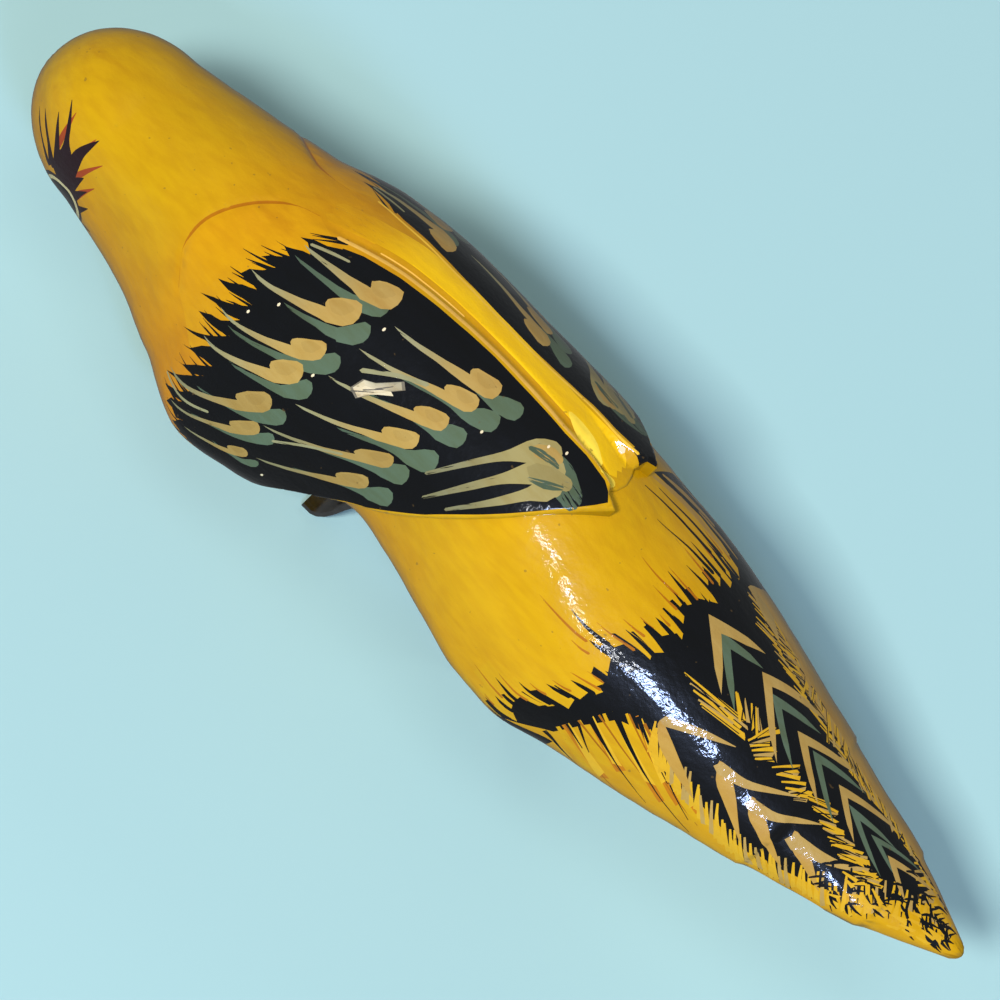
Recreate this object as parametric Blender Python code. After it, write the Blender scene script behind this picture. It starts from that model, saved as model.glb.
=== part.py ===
"""Clip-on bird ornament: a carved wooden songbird on a sprung steel clip.

The bird looks along +X and stands on its clip at Z = 0. Its left side is +Y.
The carving is given in units of a 128th of the bird's length, measured back from
a line 3 units behind the front of the head and up or down from its long axis.
The clip is given in metres.
"""

import bmesh
import bpy
import numpy as np
from mathutils import Matrix, Vector

# The carving
LENGTH = 0.128
UNIT = LENGTH / 128
HEAD_FRONT = -3.0
TAIL_TIP = 125.0
BLUNT_END = 0.7

# The clip
SHEET = 0.0005
CLEARANCE = 0.0003
CLIP_WIDTH = 0.0064
CLIP_HEIGHT = 0.0108
PIN_RADIUS = 0.0006
PIN_HEAD_RADIUS = 0.0011
PIN_HEAD_THICKNESS = 0.0004
EAR_RADIUS = 0.0015
WIRE_RADIUS = 0.00022
SPRING_TURNS = 4
SPRING_LEG = 0.0030
BASE_LENGTH = 0.0445
TAB_LENGTH = 0.0046
FOOT_LENGTH = 0.0015
BOW_LENGTH = 0.0370
LIP_LENGTH = 0.0032

# Where the clip sits under the belly, in carving units
SEAT_LEVEL = -8.6
SEAT_FRONT = 46.8
PIN_STATION = 50.6

RING_POINTS = 40
RINGS = 56


def through(stations, values, at):
    """A smooth line through the values, which never overshoots between two of them."""
    x = np.array(stations, float)
    y = np.array(values, float)
    step = np.diff(x)
    slope = np.diff(y) / step
    tangent = np.zeros_like(y)
    for i in range(1, len(x) - 1):
        before, after = slope[i - 1], slope[i]
        if before * after > 0:
            near, far = 2 * step[i] + step[i - 1], step[i] + 2 * step[i - 1]
            tangent[i] = (near + far) / (near / before + far / after)
    tangent[0], tangent[-1] = slope[0], slope[-1]
    i = int(np.clip(np.searchsorted(x, at) - 1, 0, len(x) - 2))
    t = float(np.clip((at - x[i]) / step[i], 0, 1))
    rest = 1 - t
    start = rest * rest * (1 + 2 * t) * y[i] + rest * rest * t * step[i] * tangent[i]
    end = t * t * (3 - 2 * t) * y[i + 1] - t * t * rest * step[i] * tangent[i + 1]
    return float(start + end)


def ease(start, end, value):
    t = float(np.clip((value - start) / (end - start), 0, 1))
    return t * t * (3 - 2 * t)


# The block that the bird is carved from, from the crown to the tail. Each station has the
# half width, the level where it is widest, the top of the back and the bottom of the belly.
BLOCK = (
    (8.0, 8.9, 1.9, 9.2, -9.4),
    (13.5, 9.8, 1.7, 10.4, -10.2),
    (18.5, 11.0, 0.6, 11.5, -10.8),
    (24.0, 13.0, -2.4, 12.9, -11.6),
    (30.0, 14.4, -4.4, 14.4, -12.0),
    (36.0, 14.0, -4.2, 15.5, -11.4),
    (43.0, 12.4, -2.2, 16.3, -9.8),
    (51.0, 10.8, 0.6, 16.5, -9.0),
    (56.0, 12.2, 0.6, 16.5, -9.0),
    (62.0, 14.0, -1.0, 16.1, -9.0),
    (68.5, 15.4, -3.4, 14.5, -9.0),
    (74.0, 15.9, -3.5, 12.9, -9.0),
    (81.0, 14.6, -1.9, 12.0, -8.4),
    (92.0, 12.4, -1.7, 9.4, -6.7),
    (99.0, 10.6, -1.4, 7.0, -5.0),
    (108.0, 8.1, -1.1, 4.5, -3.1),
    (116.0, 5.3, -0.5, 2.7, -1.9),
    (TAIL_TIP, BLUNT_END, 0.1, 0.8, -0.6),
)
# The outer face of the folded wings and of the strip of back between them
WINGS = (
    (19.0, 10.9, 0.4, 11.4, -10.8),
    (25.0, 13.4, -3.0, 13.3, -11.7),
    (33.0, 16.6, -5.6, 15.8, -12.4),
    (39.0, 16.4, -3.8, 16.9, -11.5),
    (46.0, 15.2, -0.6, 17.2, -10.5),
    (52.0, 14.5, 0.8, 17.2, -10.0),
    (60.0, 14.4, 0.8, 17.2, -9.5),
    (69.0, 13.8, 1.0, 16.6, -9.0),
)
# The wing's lower edge, its corner and its rear edge up to the tip, in degrees from the top
WING_EDGE = (
    (19.0, 120.0),
    (25.0, 133.0),
    (33.0, 130.0),
    (38.0, 120.0),
    (43.0, 105.5),
    (47.0, 97.0),
    (51.6, 87.0),
    (56.3, 69.0),
    (61.2, 48.0),
    (65.0, 31.0),
    (68.8, 15.0),
)
CROWN = BLOCK[0][0]
CROWN_LEVEL = -0.3
BACK_FULLNESS = 2.0
BELLY_FULLNESS = 3.0
THROAT_FULLNESS = 2.4
BREAST = 26.0

# Two notches where long tail feathers end at the tail's edge
FEATHER_ENDS = (102.4, 115.2)
FEATHER_STEP = 0.45
FEATHER_REACH = 9.0

# The wings rise out of the block behind the shoulder
SHOULDER = WING_EDGE[0][0]
WING_TIP = WING_EDGE[-1][0]
RISEN = 27.0
START_DEPTH = 0.6
SUNK = 1.4
WING_ROWS = 30
WING_COLUMNS = 26

# The bill, short and thick, points down from the bowed head
BILL_ROOT = (6.8, -4.6)
BILL_TIP = (4.2, -12.0)
BILL_WIDTH = 3.0
BILL_DEPTH = 2.7
BILL_SIDES = 14
BILL_STEPS = 6


def feathered(station, width):
    for end in FEATHER_ENDS:
        if end - FEATHER_REACH < station <= end:
            width += FEATHER_STEP * ease(end - FEATHER_REACH, end, station)
    return width


def section(table, station):
    """Half width, widest level, height above it and depth below it."""
    stations = [row[0] for row in table]
    width, level, top, bottom = (
        through(stations, [row[i] for row in table], max(station, stations[0])) for i in range(1, 5)
    )
    if table is BLOCK:
        width = feathered(station, width)
        short = max((CROWN - station) / (CROWN - HEAD_FRONT), 0)
        shrink = float(np.sqrt(max(1 - short * short, 0)))
        level = CROWN_LEVEL + (level - CROWN_LEVEL) * shrink if shrink < 1 else level
        top = level + (top - level) * shrink
        bottom = level + (bottom - level) * shrink
        width *= shrink
    return width, level, top - level, level - bottom


def radius(table, station, angle):
    """Distance from the section's middle to the surface, at an angle from straight up."""
    width, level, height, depth = section(table, station)
    reach, full = height, BACK_FULLNESS
    if np.cos(angle) < 0:
        reach = depth
        full = THROAT_FULLNESS + (BELLY_FULLNESS - THROAT_FULLNESS) * ease(0, BREAST, station)
    across = abs(np.sin(angle)) / width
    along = abs(np.cos(angle)) / reach
    return float((across**full + along**full) ** (-1 / full))


def edge_angle(station):
    stations, angles = zip(*WING_EDGE)
    return through(stations, angles, station)


def place(station, level, across=0.0):
    """A carving point in metres, with the clip's feet on the ground."""
    middle = (HEAD_FRONT + TAIL_TIP) / 2
    height = CLIP_HEIGHT + (level - SEAT_LEVEL) * UNIT
    return Vector(((middle - station) * UNIT, across * UNIT, height))


def on_surface(table, station, angle, extra=0.0):
    reach = radius(table, station, angle) + extra
    level = section(table, station)[1]
    return place(station, level + reach * np.cos(angle), reach * np.sin(angle))


def material(name, colour, metallic, roughness):
    made = bpy.data.materials.new(name)
    made.use_nodes = True
    shader = made.node_tree.nodes["Principled BSDF"]
    shader.inputs["Base Color"].default_value = (*colour, 1)
    shader.inputs["Metallic"].default_value = metallic
    shader.inputs["Roughness"].default_value = roughness
    return made


def add(name, points, faces, finish=None):
    mesh = bpy.data.meshes.new(name)
    mesh.from_pydata([tuple(p) for p in points], [], faces)
    made = bpy.data.objects.new(name, mesh)
    bpy.context.scene.collection.objects.link(made)
    if finish:
        mesh.materials.append(finish)
    work = bmesh.new()
    work.from_mesh(mesh)
    bmesh.ops.recalc_face_normals(work, faces=work.faces)
    work.to_mesh(mesh)
    work.free()
    return made


def rings_to_solid(name, rings, finish=None):
    """Joins closed rings of equal length into a solid with flat ends."""
    count = len(rings[0])
    points = [p for ring in rings for p in ring]
    faces = []
    for row in range(len(rings) - 1):
        for i in range(count):
            j = (i + 1) % count
            start, end = row * count, (row + 1) * count
            faces.append((start + i, start + j, end + j, end + i))
    faces.append(tuple(range(count))[::-1])
    faces.append(tuple(range(len(points) - count, len(points))))
    return add(name, points, faces, finish)


def combine(target, tool, operation):
    change = target.modifiers.new("cut", "BOOLEAN")
    change.operation = operation
    change.solver = "EXACT"
    change.object = tool
    tool.hide_render = True
    tool.display_type = "WIRE"
    layer = bpy.context.view_layer
    layer.objects.active = target
    target.select_set(True)
    bpy.ops.object.modifier_apply(modifier=change.name)
    target.select_set(False)
    bpy.data.objects.remove(tool, do_unlink=True)


def block():
    """The block from crown to tail tip, with rings set closer at the head."""
    angles = np.linspace(0, 2 * np.pi, RING_POINTS, endpoint=False)
    nose = [HEAD_FRONT + (CROWN - HEAD_FRONT) * t * t for t in np.linspace(0.08, 1, 10)]
    rest = list(np.linspace(CROWN, TAIL_TIP, RINGS - len(nose) + 1))[1:]
    for end in FEATHER_ENDS:
        rest = [s for s in rest if abs(s - end) > 0.9] + [end, end + 0.5]
    return [[on_surface(BLOCK, s, a) for a in angles] for s in nose + sorted(rest)]


def mantle():
    """The wings and the back strip as one raised layer, partly sunk into the block."""
    rows = []
    for station in np.linspace(SHOULDER, WING_TIP, WING_ROWS):
        limit = np.radians(edge_angle(station))
        angles = np.linspace(-limit, limit, WING_COLUMNS)
        low = START_DEPTH * (1 - ease(SHOULDER, RISEN, station))
        outer = [on_surface(WINGS, station, a, -low) for a in angles]
        inner = [on_surface(BLOCK, station, a, -SUNK) for a in angles[::-1]]
        rows.append(outer + inner)
    return rows


def bill():
    root = np.array(BILL_ROOT)
    tip = np.array(BILL_TIP)
    along = (tip - root) / np.linalg.norm(tip - root)
    up = np.array((-along[1], along[0]))
    rings = []
    for share in np.linspace(0, 1, BILL_STEPS):
        size = (1 - share) ** 0.8 + 0.12
        middle = root + (tip - root) * share
        ring = []
        for turn in np.linspace(0, 2 * np.pi, BILL_SIDES, endpoint=False):
            side = up * np.sin(turn) * BILL_DEPTH * size
            station, level = middle + side
            ring.append(place(station, level, np.cos(turn) * BILL_WIDTH * size))
        rings.append(ring)
    return rings


def box(name, low, high):
    corners = [Vector((x, y, z)) for x in (low[0], high[0]) for y in (low[1], high[1]) for z in (low[2], high[2])]
    faces = ((0, 1, 3, 2), (4, 6, 7, 5), (0, 4, 5, 1), (2, 3, 7, 6), (0, 2, 6, 4), (1, 5, 7, 3))
    return add(name, corners, faces)


def carved_bird():
    bird = rings_to_solid("carved_bird", block(), material("lacquered_wood", (0.78, 0.5, 0.02), 0, 0.25))
    combine(bird, rings_to_solid("mantle", mantle()), "UNION")
    combine(bird, rings_to_solid("bill", bill()), "UNION")
    front = place(SEAT_FRONT, SEAT_LEVEL).x + CLEARANCE
    back = front - BASE_LENGTH - 2 * CLEARANCE
    side = base_half_width() + CLEARANCE
    below = CLIP_HEIGHT - SHEET - 2 * CLEARANCE
    combine(bird, box("seat", (back, -side, below), (front, side, CLIP_HEIGHT)), "DIFFERENCE")
    return bird


def base_half_width():
    """The base fits between the jaw's two ears."""
    return CLIP_WIDTH / 2 - SHEET - CLEARANCE


def base_levels():
    top = CLIP_HEIGHT - CLEARANCE
    return top - SHEET, top


def pin_place():
    """Under the base plate by the spring's radius and its clearance."""
    under = base_levels()[0]
    return Vector((place(PIN_STATION, SEAT_LEVEL).x, 0, under - CLEARANCE - coil_reach()))


def coil_radius():
    return PIN_RADIUS + CLEARANCE + WIRE_RADIUS


def coil_reach():
    return coil_radius() + WIRE_RADIUS


def plate(name, outline, low, high, finish=None):
    """A flat outline in X and Z, given thickness along Y."""
    return rings_to_solid(name, [[Vector((x, y, z)) for x, z in outline] for y in (low, high)], finish)


def cylinder(name, centre, size, low, high, sides=24):
    turns = np.linspace(0, 2 * np.pi, sides, endpoint=False)
    outline = [(centre.x + size * np.cos(t), centre.z + size * np.sin(t)) for t in turns]
    return plate(name, outline, low, high)


def ear(name, pin, top, inner, outer, size):
    """A rounded lug around the pin that runs straight up or down to its strip."""
    way = 1 if top > pin.z else -1
    turns = np.linspace(0, np.pi, 11)
    outline = [(pin.x + size * np.cos(t), pin.z - way * size * np.sin(t)) for t in turns]
    outline += [(pin.x - size, top), (pin.x + size, top)]
    return plate(name, outline, inner, outer)


def drill(target, pin, low, high):
    combine(target, cylinder("bore", pin, PIN_RADIUS + CLEARANCE, low, high), "DIFFERENCE")


def clip_base(steel):
    low, high = base_levels()
    pin = pin_place()
    front = place(SEAT_FRONT, SEAT_LEVEL).x
    half = base_half_width()
    base = box("clip_base", (front - BASE_LENGTH, -half, low), (front, half, high))
    base.data.materials.append(steel)
    for side in (-1, 1):
        walls = sorted((side * half, side * (half - SHEET)))
        combine(base, ear("ear", pin, low + SHEET / 2, *walls, EAR_RADIUS - SHEET / 2), "UNION")
    drill(base, pin, -CLIP_WIDTH, CLIP_WIDTH)
    return base


def jaw_line():
    """The jaw's middle line in X and Z, from the foot of the thumb tab to the lip."""
    pin = pin_place()
    floor = SHEET / 2
    saddle = pin.z - EAR_RADIUS - CLEARANCE - SHEET / 2
    lip = base_levels()[0] - CLEARANCE - SHEET / 2
    tab_drop = saddle - floor
    toe = pin.x + TAB_LENGTH
    heel = toe - FOOT_LENGTH
    back = pin.x - 1.5 * EAR_RADIUS
    line = [
        (toe, floor),
        (heel, floor),
        (heel - 0.24 * TAB_LENGTH, floor + 0.25 * tab_drop),
        (heel - 0.46 * TAB_LENGTH, floor + 0.82 * tab_drop),
        (heel - 0.60 * TAB_LENGTH, saddle),
        (back, saddle),
    ]
    bow = saddle - floor
    for share, drop in ((0.12, 0.2), (0.24, 0.52), (0.37, 0.86), (0.47, 1), (0.58, 1)):
        line.append((back - share * BOW_LENGTH, saddle - drop * bow))
    end = back - BOW_LENGTH
    rise_up = lip - floor
    for share, climb in ((0.68, 0.13), (0.80, 0.48), (0.92, 0.86), (1, 1)):
        line.append((back - share * BOW_LENGTH, floor + climb * rise_up))
    line.append((end - LIP_LENGTH, lip))
    return line


def thickened(line, thickness):
    """The outline of a strip of even thickness along a line."""
    points = [np.array(p) for p in line]
    sides = []
    for i, point in enumerate(points):
        before = points[max(i - 1, 0)]
        after = points[min(i + 1, len(points) - 1)]
        first = point - before if i else after - point
        last = after - point if i < len(points) - 1 else point - before
        first, last = first / np.linalg.norm(first), last / np.linalg.norm(last)
        middle = (first + last) / np.linalg.norm(first + last)
        normal = np.array((-middle[1], middle[0]))
        stretch = 1 / max(float(middle @ first), 0.5)
        sides.append(normal * thickness / 2 * stretch)
    upper = [tuple(p + s) for p, s in zip(points, sides)]
    lower = [tuple(p - s) for p, s in zip(points, sides)]
    return upper + lower[::-1]


def softened(line, rounds=1):
    """Cuts each corner of a line, keeping its ends."""
    for _ in range(rounds):
        points = [np.array(p) for p in line]
        cut = [points[0]]
        for before, after in zip(points[:-1], points[1:]):
            cut += [before * 0.78 + after * 0.22, before * 0.22 + after * 0.78]
        line = [tuple(p) for p in cut + [points[-1]]]
    return line


def clip_jaw(steel):
    pin = pin_place()
    half = CLIP_WIDTH / 2
    jaw = plate("clip_jaw", thickened(softened(jaw_line()), SHEET), -half, half, steel)
    strip = pin.z - EAR_RADIUS - CLEARANCE
    for side in (-1, 1):
        walls = sorted((side * half, side * (half - SHEET)))
        combine(jaw, ear("ear", pin, strip - SHEET / 2, *walls, EAR_RADIUS), "UNION")
    drill(jaw, pin, -CLIP_WIDTH, CLIP_WIDTH)
    jaw.data.transform(Matrix.Translation(-pin))
    jaw.location = pin
    return jaw


def clip_pin(steel):
    pin = pin_place()
    reach = CLIP_WIDTH / 2 + CLEARANCE
    shaft = cylinder("clip_pin", pin, PIN_RADIUS, -reach - PIN_HEAD_THICKNESS / 2, reach + PIN_HEAD_THICKNESS / 2)
    shaft.data.materials.append(steel)
    for side in (-1, 1):
        ends = sorted((side * reach, side * (reach + PIN_HEAD_THICKNESS)))
        combine(shaft, cylinder("head", pin, PIN_HEAD_RADIUS, *ends), "UNION")
    return shaft


def wire(name, line, finish):
    """A round wire along a line of points."""
    rings = []
    side = Vector((0, 1, 0))
    for i, point in enumerate(line):
        ahead = line[min(i + 1, len(line) - 1)] - line[max(i - 1, 0)]
        ahead.normalize()
        across = (side - ahead * side.dot(ahead)).normalized()
        other = ahead.cross(across)
        turns = np.linspace(0, 2 * np.pi, 8, endpoint=False)
        rings.append([point + (across * np.cos(t) + other * np.sin(t)) * WIRE_RADIUS for t in turns])
    return rings_to_solid(name, rings, finish)


def clip_spring(steel):
    """The coil goes round the pin. One leg runs forward under the base, the other down the tab."""
    pin = pin_place()
    spread = base_half_width() - SHEET - CLEARANCE - WIRE_RADIUS
    size = coil_radius()
    line = [pin + Vector((share * SPRING_LEG, -spread, size)) for share in (1, 0.3)]
    steps = SPRING_TURNS * 16
    for i in range(steps + 1):
        share = i / steps
        turn = np.pi / 2 + (2 * SPRING_TURNS - 1) * np.pi * share
        across = spread * (2 * share - 1)
        line.append(pin + Vector((size * np.cos(turn), across, size * np.sin(turn))))
    low, high = (np.array(p) for p in jaw_line()[2:4])
    along = (high - low) / np.linalg.norm(high - low)
    off = np.array((along[1], -along[0])) * (SHEET / 2 + CLEARANCE + WIRE_RADIUS)
    bend = high + off + along * (pin.z - size - high[1] - off[1]) / along[1] * 0.5
    line.append(Vector((bend[0] - size / 2, spread, pin.z - size)))
    line.append(Vector((bend[0], spread, bend[1])))
    for share in (1, 0.5, 0.1):
        x, z = low + (high - low) * share + off
        line.append(Vector((x, spread, z)))
    return wire("clip_spring", line, steel)


def build():
    for old in list(bpy.data.objects):
        bpy.data.objects.remove(old, do_unlink=True)
    carved_bird()
    clip_base(material("base_steel", (0.55, 0.55, 0.56), 1, 0.35))
    clip_jaw(material("jaw_steel", (0.5, 0.5, 0.51), 1, 0.35))
    clip_pin(material("pin_steel", (0.62, 0.62, 0.62), 1, 0.3))
    clip_spring(material("spring_steel", (0.45, 0.45, 0.46), 1, 0.3))


build()
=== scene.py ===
"""The dressed look of the clip-on bird ornament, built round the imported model.

The bird looks along +X. The carving is measured in millimetres along the bird (a station)
and in degrees round it from the top, positive on its left side. The paint is laid on as
brush strokes in those two measures, and each stroke's outline is an edge of the mesh.
"""

import math

import bmesh
import bpy
import numpy as np
from mathutils import Matrix, Vector
from mathutils.geometry import delaunay_2d_cdt


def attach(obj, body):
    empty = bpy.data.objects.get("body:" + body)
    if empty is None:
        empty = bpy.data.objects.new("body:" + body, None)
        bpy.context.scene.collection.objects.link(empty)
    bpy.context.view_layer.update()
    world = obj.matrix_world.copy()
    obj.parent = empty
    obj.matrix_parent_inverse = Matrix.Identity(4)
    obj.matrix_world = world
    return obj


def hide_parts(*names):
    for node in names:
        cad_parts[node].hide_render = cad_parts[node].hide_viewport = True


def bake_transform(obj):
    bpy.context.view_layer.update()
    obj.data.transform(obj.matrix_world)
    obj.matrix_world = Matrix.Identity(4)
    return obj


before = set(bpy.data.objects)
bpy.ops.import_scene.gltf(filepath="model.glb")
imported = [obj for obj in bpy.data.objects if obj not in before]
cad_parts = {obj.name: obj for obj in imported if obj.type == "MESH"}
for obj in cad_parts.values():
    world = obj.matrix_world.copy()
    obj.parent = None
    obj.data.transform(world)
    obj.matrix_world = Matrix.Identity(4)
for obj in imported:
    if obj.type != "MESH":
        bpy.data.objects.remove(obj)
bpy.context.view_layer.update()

rng = np.random.default_rng(7)
MM = 0.001

# The carving, with the same sections as the solid
HEAD_FRONT, CROWN, CROWN_LEVEL = -3.0, 8.0, -0.3
AXIS_HEIGHT = 19.4
MIDDLE = 61.0
BLOCK = np.array((
    (8.0, 8.9, 1.9, 9.2, -9.4), (13.5, 9.8, 1.7, 10.4, -10.2), (18.5, 11.0, 0.6, 11.5, -10.8),
    (24.0, 13.0, -2.4, 12.9, -11.6), (30.0, 14.4, -4.4, 14.4, -12.0), (36.0, 14.0, -4.2, 15.5, -11.4),
    (43.0, 12.4, -2.2, 16.3, -9.8), (51.0, 10.8, 0.6, 16.5, -9.0), (56.0, 12.2, 0.6, 16.5, -9.0),
    (62.0, 14.0, -1.0, 16.1, -9.0), (68.5, 15.4, -3.4, 14.5, -9.0), (74.0, 15.9, -3.5, 12.9, -9.0),
    (81.0, 14.6, -1.9, 12.0, -8.4), (92.0, 12.4, -1.7, 9.4, -6.7), (99.0, 10.6, -1.4, 7.0, -5.0),
    (108.0, 8.1, -1.1, 4.5, -3.1), (116.0, 5.3, -0.5, 2.7, -1.9), (125.0, 0.7, 0.1, 0.8, -0.6),
))
WINGS = np.array((
    (19.0, 10.9, 0.4, 11.4, -10.8), (25.0, 13.4, -3.0, 13.3, -11.7), (33.0, 16.6, -5.6, 15.8, -12.4),
    (39.0, 16.4, -3.8, 16.9, -11.5), (46.0, 15.2, -0.6, 17.2, -10.5), (52.0, 14.5, 0.8, 17.2, -10.0),
    (60.0, 14.4, 0.8, 17.2, -9.5), (69.0, 13.8, 1.0, 16.6, -9.0),
))
WING_EDGE = np.array((
    (19.0, 120.0), (25.0, 133.0), (33.0, 130.0), (38.0, 120.0), (43.0, 105.5), (47.0, 97.0),
    (51.6, 87.0), (56.3, 69.0), (61.2, 48.0), (65.0, 31.0), (68.8, 15.0),
))
FEATHER_ENDS, FEATHER_STEP, FEATHER_REACH, FEATHER_FALL = (102.4, 115.2), 0.45, 9.0, 0.5
TAIL_ROUND_FROM, TAIL_ROUND = 124.2, 0.81
# How full each section is: 2 is an ellipse, and more is squarer
BACK_FULLNESS, THROAT_FULLNESS, BELLY_GAIN, BREAST = 2.0, 2.4, 0.6, 26
SHOULDER, RISEN, WING_TIP, START_DEPTH = 19.0, 27.0, 68.8, 0.6
SEAT_LEVEL, SEAT_HALF, SEAT_FROM, SEAT_TO = -8.6, 2.7, 46.5, 84.0
RIM = 0.45
CHANNEL, CHANNEL_WIDTH, CHANNEL_START, CHANNEL_END = 0.22, 1.5, (27, 34), (63.5, 66.5)
STRIP_FALL, STRIP_FALLS = 0.8, (57, 66.5)
# The knife's marks, the step in front of the shoulder and the groove along the wing's foot, in mm
BODY_MARKS, WING_MARKS = 0.07, 0.06
STEP_DEPTH, STEP_WIDTH = 0.16, 0.4
GROOVE_DEPTH, GROOVE_WIDTH, GAP_BLEND = 0.07, 0.3, 0.02
# The line between each wing and the strip of back, and the faint step in front of the shoulder
DORSAL = (
    (29.0, 11.5), (34.0, 8.2), (38.0, 6.9), (42.7, 6.2), (50.0, 5.9), (56.4, 6.9), (60.0, 7.8), (63.0, 7.8),
    (66.0, 9.2), (67.5, 11.5), (68.8, 14.0),
)
SHOULDER_ARC = (
    (23.0, 70.0), (20.6, 60.4), (20.3, 53.9), (20.3, 45.6), (20.8, 36.3), (21.8, 26.3), (23.0, 18.6),
    (24.5, 12.7), (26.1, 9.5), (28.1, 8.0),
)
# Where the strip of back ends, from one wing's tip to the other's
STRIP_END = np.array((
    (68.0, 13.5), (67.2, 12.2), (66.9, 10.5), (67.1, 8.0), (67.6, 5.0), (67.9, 0.0), (67.7, -5.0),
    (67.3, -9.0), (67.7, -12.5),
))
STRIP_RADIUS = 17.0
BILL_ROOT, BILL_TIP, BILL_WIDTH, BILL_DEPTH = (6.8, -4.6), (4.2, -12.0), 3.0, 2.7
FLAT = 14.0  # one radian of angle is this many mm wide in the flat pattern
SEAM = math.pi * FLAT


def through(line, at, column=1):
    """A smooth line through a table's values, which never overshoots between two of them."""
    table = np.array(line, float)
    x, y = table[:, 0], table[:, column]
    at = np.asarray(at, float)
    step = np.diff(x)
    slope = np.diff(y) / step
    tangent = np.zeros(len(x))
    for i in range(1, len(x) - 1):
        before, after = slope[i - 1], slope[i]
        if before * after > 0:
            near, far = 2 * step[i] + step[i - 1], step[i] + 2 * step[i - 1]
            tangent[i] = (near + far) / (near / before + far / after)
    tangent[0], tangent[-1] = slope[0], slope[-1]
    i = np.clip(np.searchsorted(x, at) - 1, 0, len(x) - 2)
    t = np.clip((at - x[i]) / step[i], 0, 1)
    rest = 1 - t
    start = rest * rest * (1 + 2 * t) * y[i] + rest * rest * t * step[i] * tangent[i]
    return start + t * t * (3 - 2 * t) * y[i + 1] - t * t * rest * step[i] * tangent[i + 1]


def ease(start, end, value):
    t = np.clip((np.asarray(value, float) - start) / (end - start), 0, 1)
    return t * t * (3 - 2 * t)


def section(table, station):
    station = np.asarray(station, float)
    level, width, top, bottom = (through(table, np.maximum(station, table[0, 0]), i) for i in (2, 1, 3, 4))
    if table is BLOCK:
        for end in FEATHER_ENDS:
            grown = ease(end - FEATHER_REACH, end, station)
            fallen = 1 - ease(end, end + FEATHER_FALL, station)
            width = width + FEATHER_STEP * np.where(station <= end, grown, fallen)
        short = np.maximum((CROWN - station) / (CROWN - HEAD_FRONT), 0)
        shrink = np.sqrt(np.maximum(1 - short * short, 0))
        level = np.where(shrink < 1, CROWN_LEVEL + (level - CROWN_LEVEL) * shrink, level)
        round_end = np.clip((station - TAIL_ROUND_FROM) / TAIL_ROUND, 0, 1)
        shrink = shrink * np.sqrt(np.maximum(1 - round_end ** 2, 0))
        top, bottom, width = level + (top - level) * shrink, level + (bottom - level) * shrink, width * shrink
    return width, level, top - level, level - bottom


def polar(table, station, angle):
    width, level, height, depth = section(table, station)
    up = np.cos(angle) >= 0
    full = np.where(up, BACK_FULLNESS, THROAT_FULLNESS + BELLY_GAIN * ease(0, BREAST, station))
    reach = np.where(up, height, depth)
    across = np.abs(np.sin(angle)) / np.maximum(width, 1e-6)
    along = np.abs(np.cos(angle)) / np.maximum(reach, 1e-6)
    return (across**full + along**full) ** (-1 / full)


def from_block_middle(station, angle):
    """Angle and radius, from the block's middle, of the wing's point at an angle from its own."""
    size = polar(WINGS, station, angle)
    lift = section(WINGS, station)[1] - section(BLOCK, station)[1]
    y, z = size * np.sin(angle), size * np.cos(angle) + lift
    return np.arctan2(y, z), np.hypot(y, z)


def wing_radius(station, angle):
    """The wing's radius at an angle from the block's middle."""
    own = np.array(angle, float)
    for _ in range(5):
        seen, size = from_block_middle(station, own)
        own = np.clip(own + (angle - seen), -np.pi, np.pi)
    return size


def turned(points):
    """Wing places, given round the wing's own middle, as places round the block's middle."""
    points = np.array(points, float)
    seen, _ = from_block_middle(np.clip(points[:, 0], SHOULDER, WING_TIP), np.radians(points[:, 1]))
    points[:, 1] = np.degrees(seen)
    return points


def inside(points, outline):
    """Which points lie in a closed outline."""
    found = np.zeros(len(points), bool)
    low, high = outline.min(0), outline.max(0)
    near = np.where(((points >= low) & (points <= high)).all(1))[0]
    x, y = points[near, 0][:, None], points[near, 1][:, None]
    x0, y0 = outline[:, 0][None], outline[:, 1][None]
    x1, y1 = np.roll(outline[:, 0], -1)[None], np.roll(outline[:, 1], -1)[None]
    crosses = ((y0 > y) != (y1 > y)) & (x < (x1 - x0) * (y - y0) / np.where(y1 == y0, 1e-12, y1 - y0) + x0)
    found[near] = crosses.sum(1) % 2 == 1
    return found


FAR, NEAR, AT_ONCE = 9.0, 3, 6000


def distance(station, angle, size, line):
    """Distance in mm over the surface from points to a line of (station, degrees), or FAR."""
    line = np.array(line, float)
    result = np.full(len(station), FAR)
    near = np.where((station > line[:, 0].min() - NEAR) & (station < line[:, 0].max() + NEAR))[0]
    for chunk in np.array_split(near, max(len(near) // AT_ONCE, 1)):
        r, s = size[chunk][:, None], station[chunk][:, None]
        a, b = line[:-1], line[1:]
        ya, yb = r * np.radians(a[:, 1]), r * np.radians(b[:, 1])
        dx, dy = (b[:, 0] - a[:, 0])[None], yb - ya
        px, py = s - a[:, 0][None], angle[chunk][:, None] * r - ya
        t = np.clip((px * dx + py * dy) / (dx * dx + dy * dy + 1e-12), 0, 1)
        result[chunk] = np.sqrt(np.min((px - t * dx) ** 2 + (py - t * dy) ** 2, axis=1))
    return result


def holds(outline, station, angle):
    return inside(np.stack((station, np.degrees(angle)), -1), outline)


def dorsal_angle(stations):
    """The angle of the left wing's inner line, in degrees round the block's middle."""
    return turned(np.stack((stations, through(DORSAL, stations)), -1))[:, 1]


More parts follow.
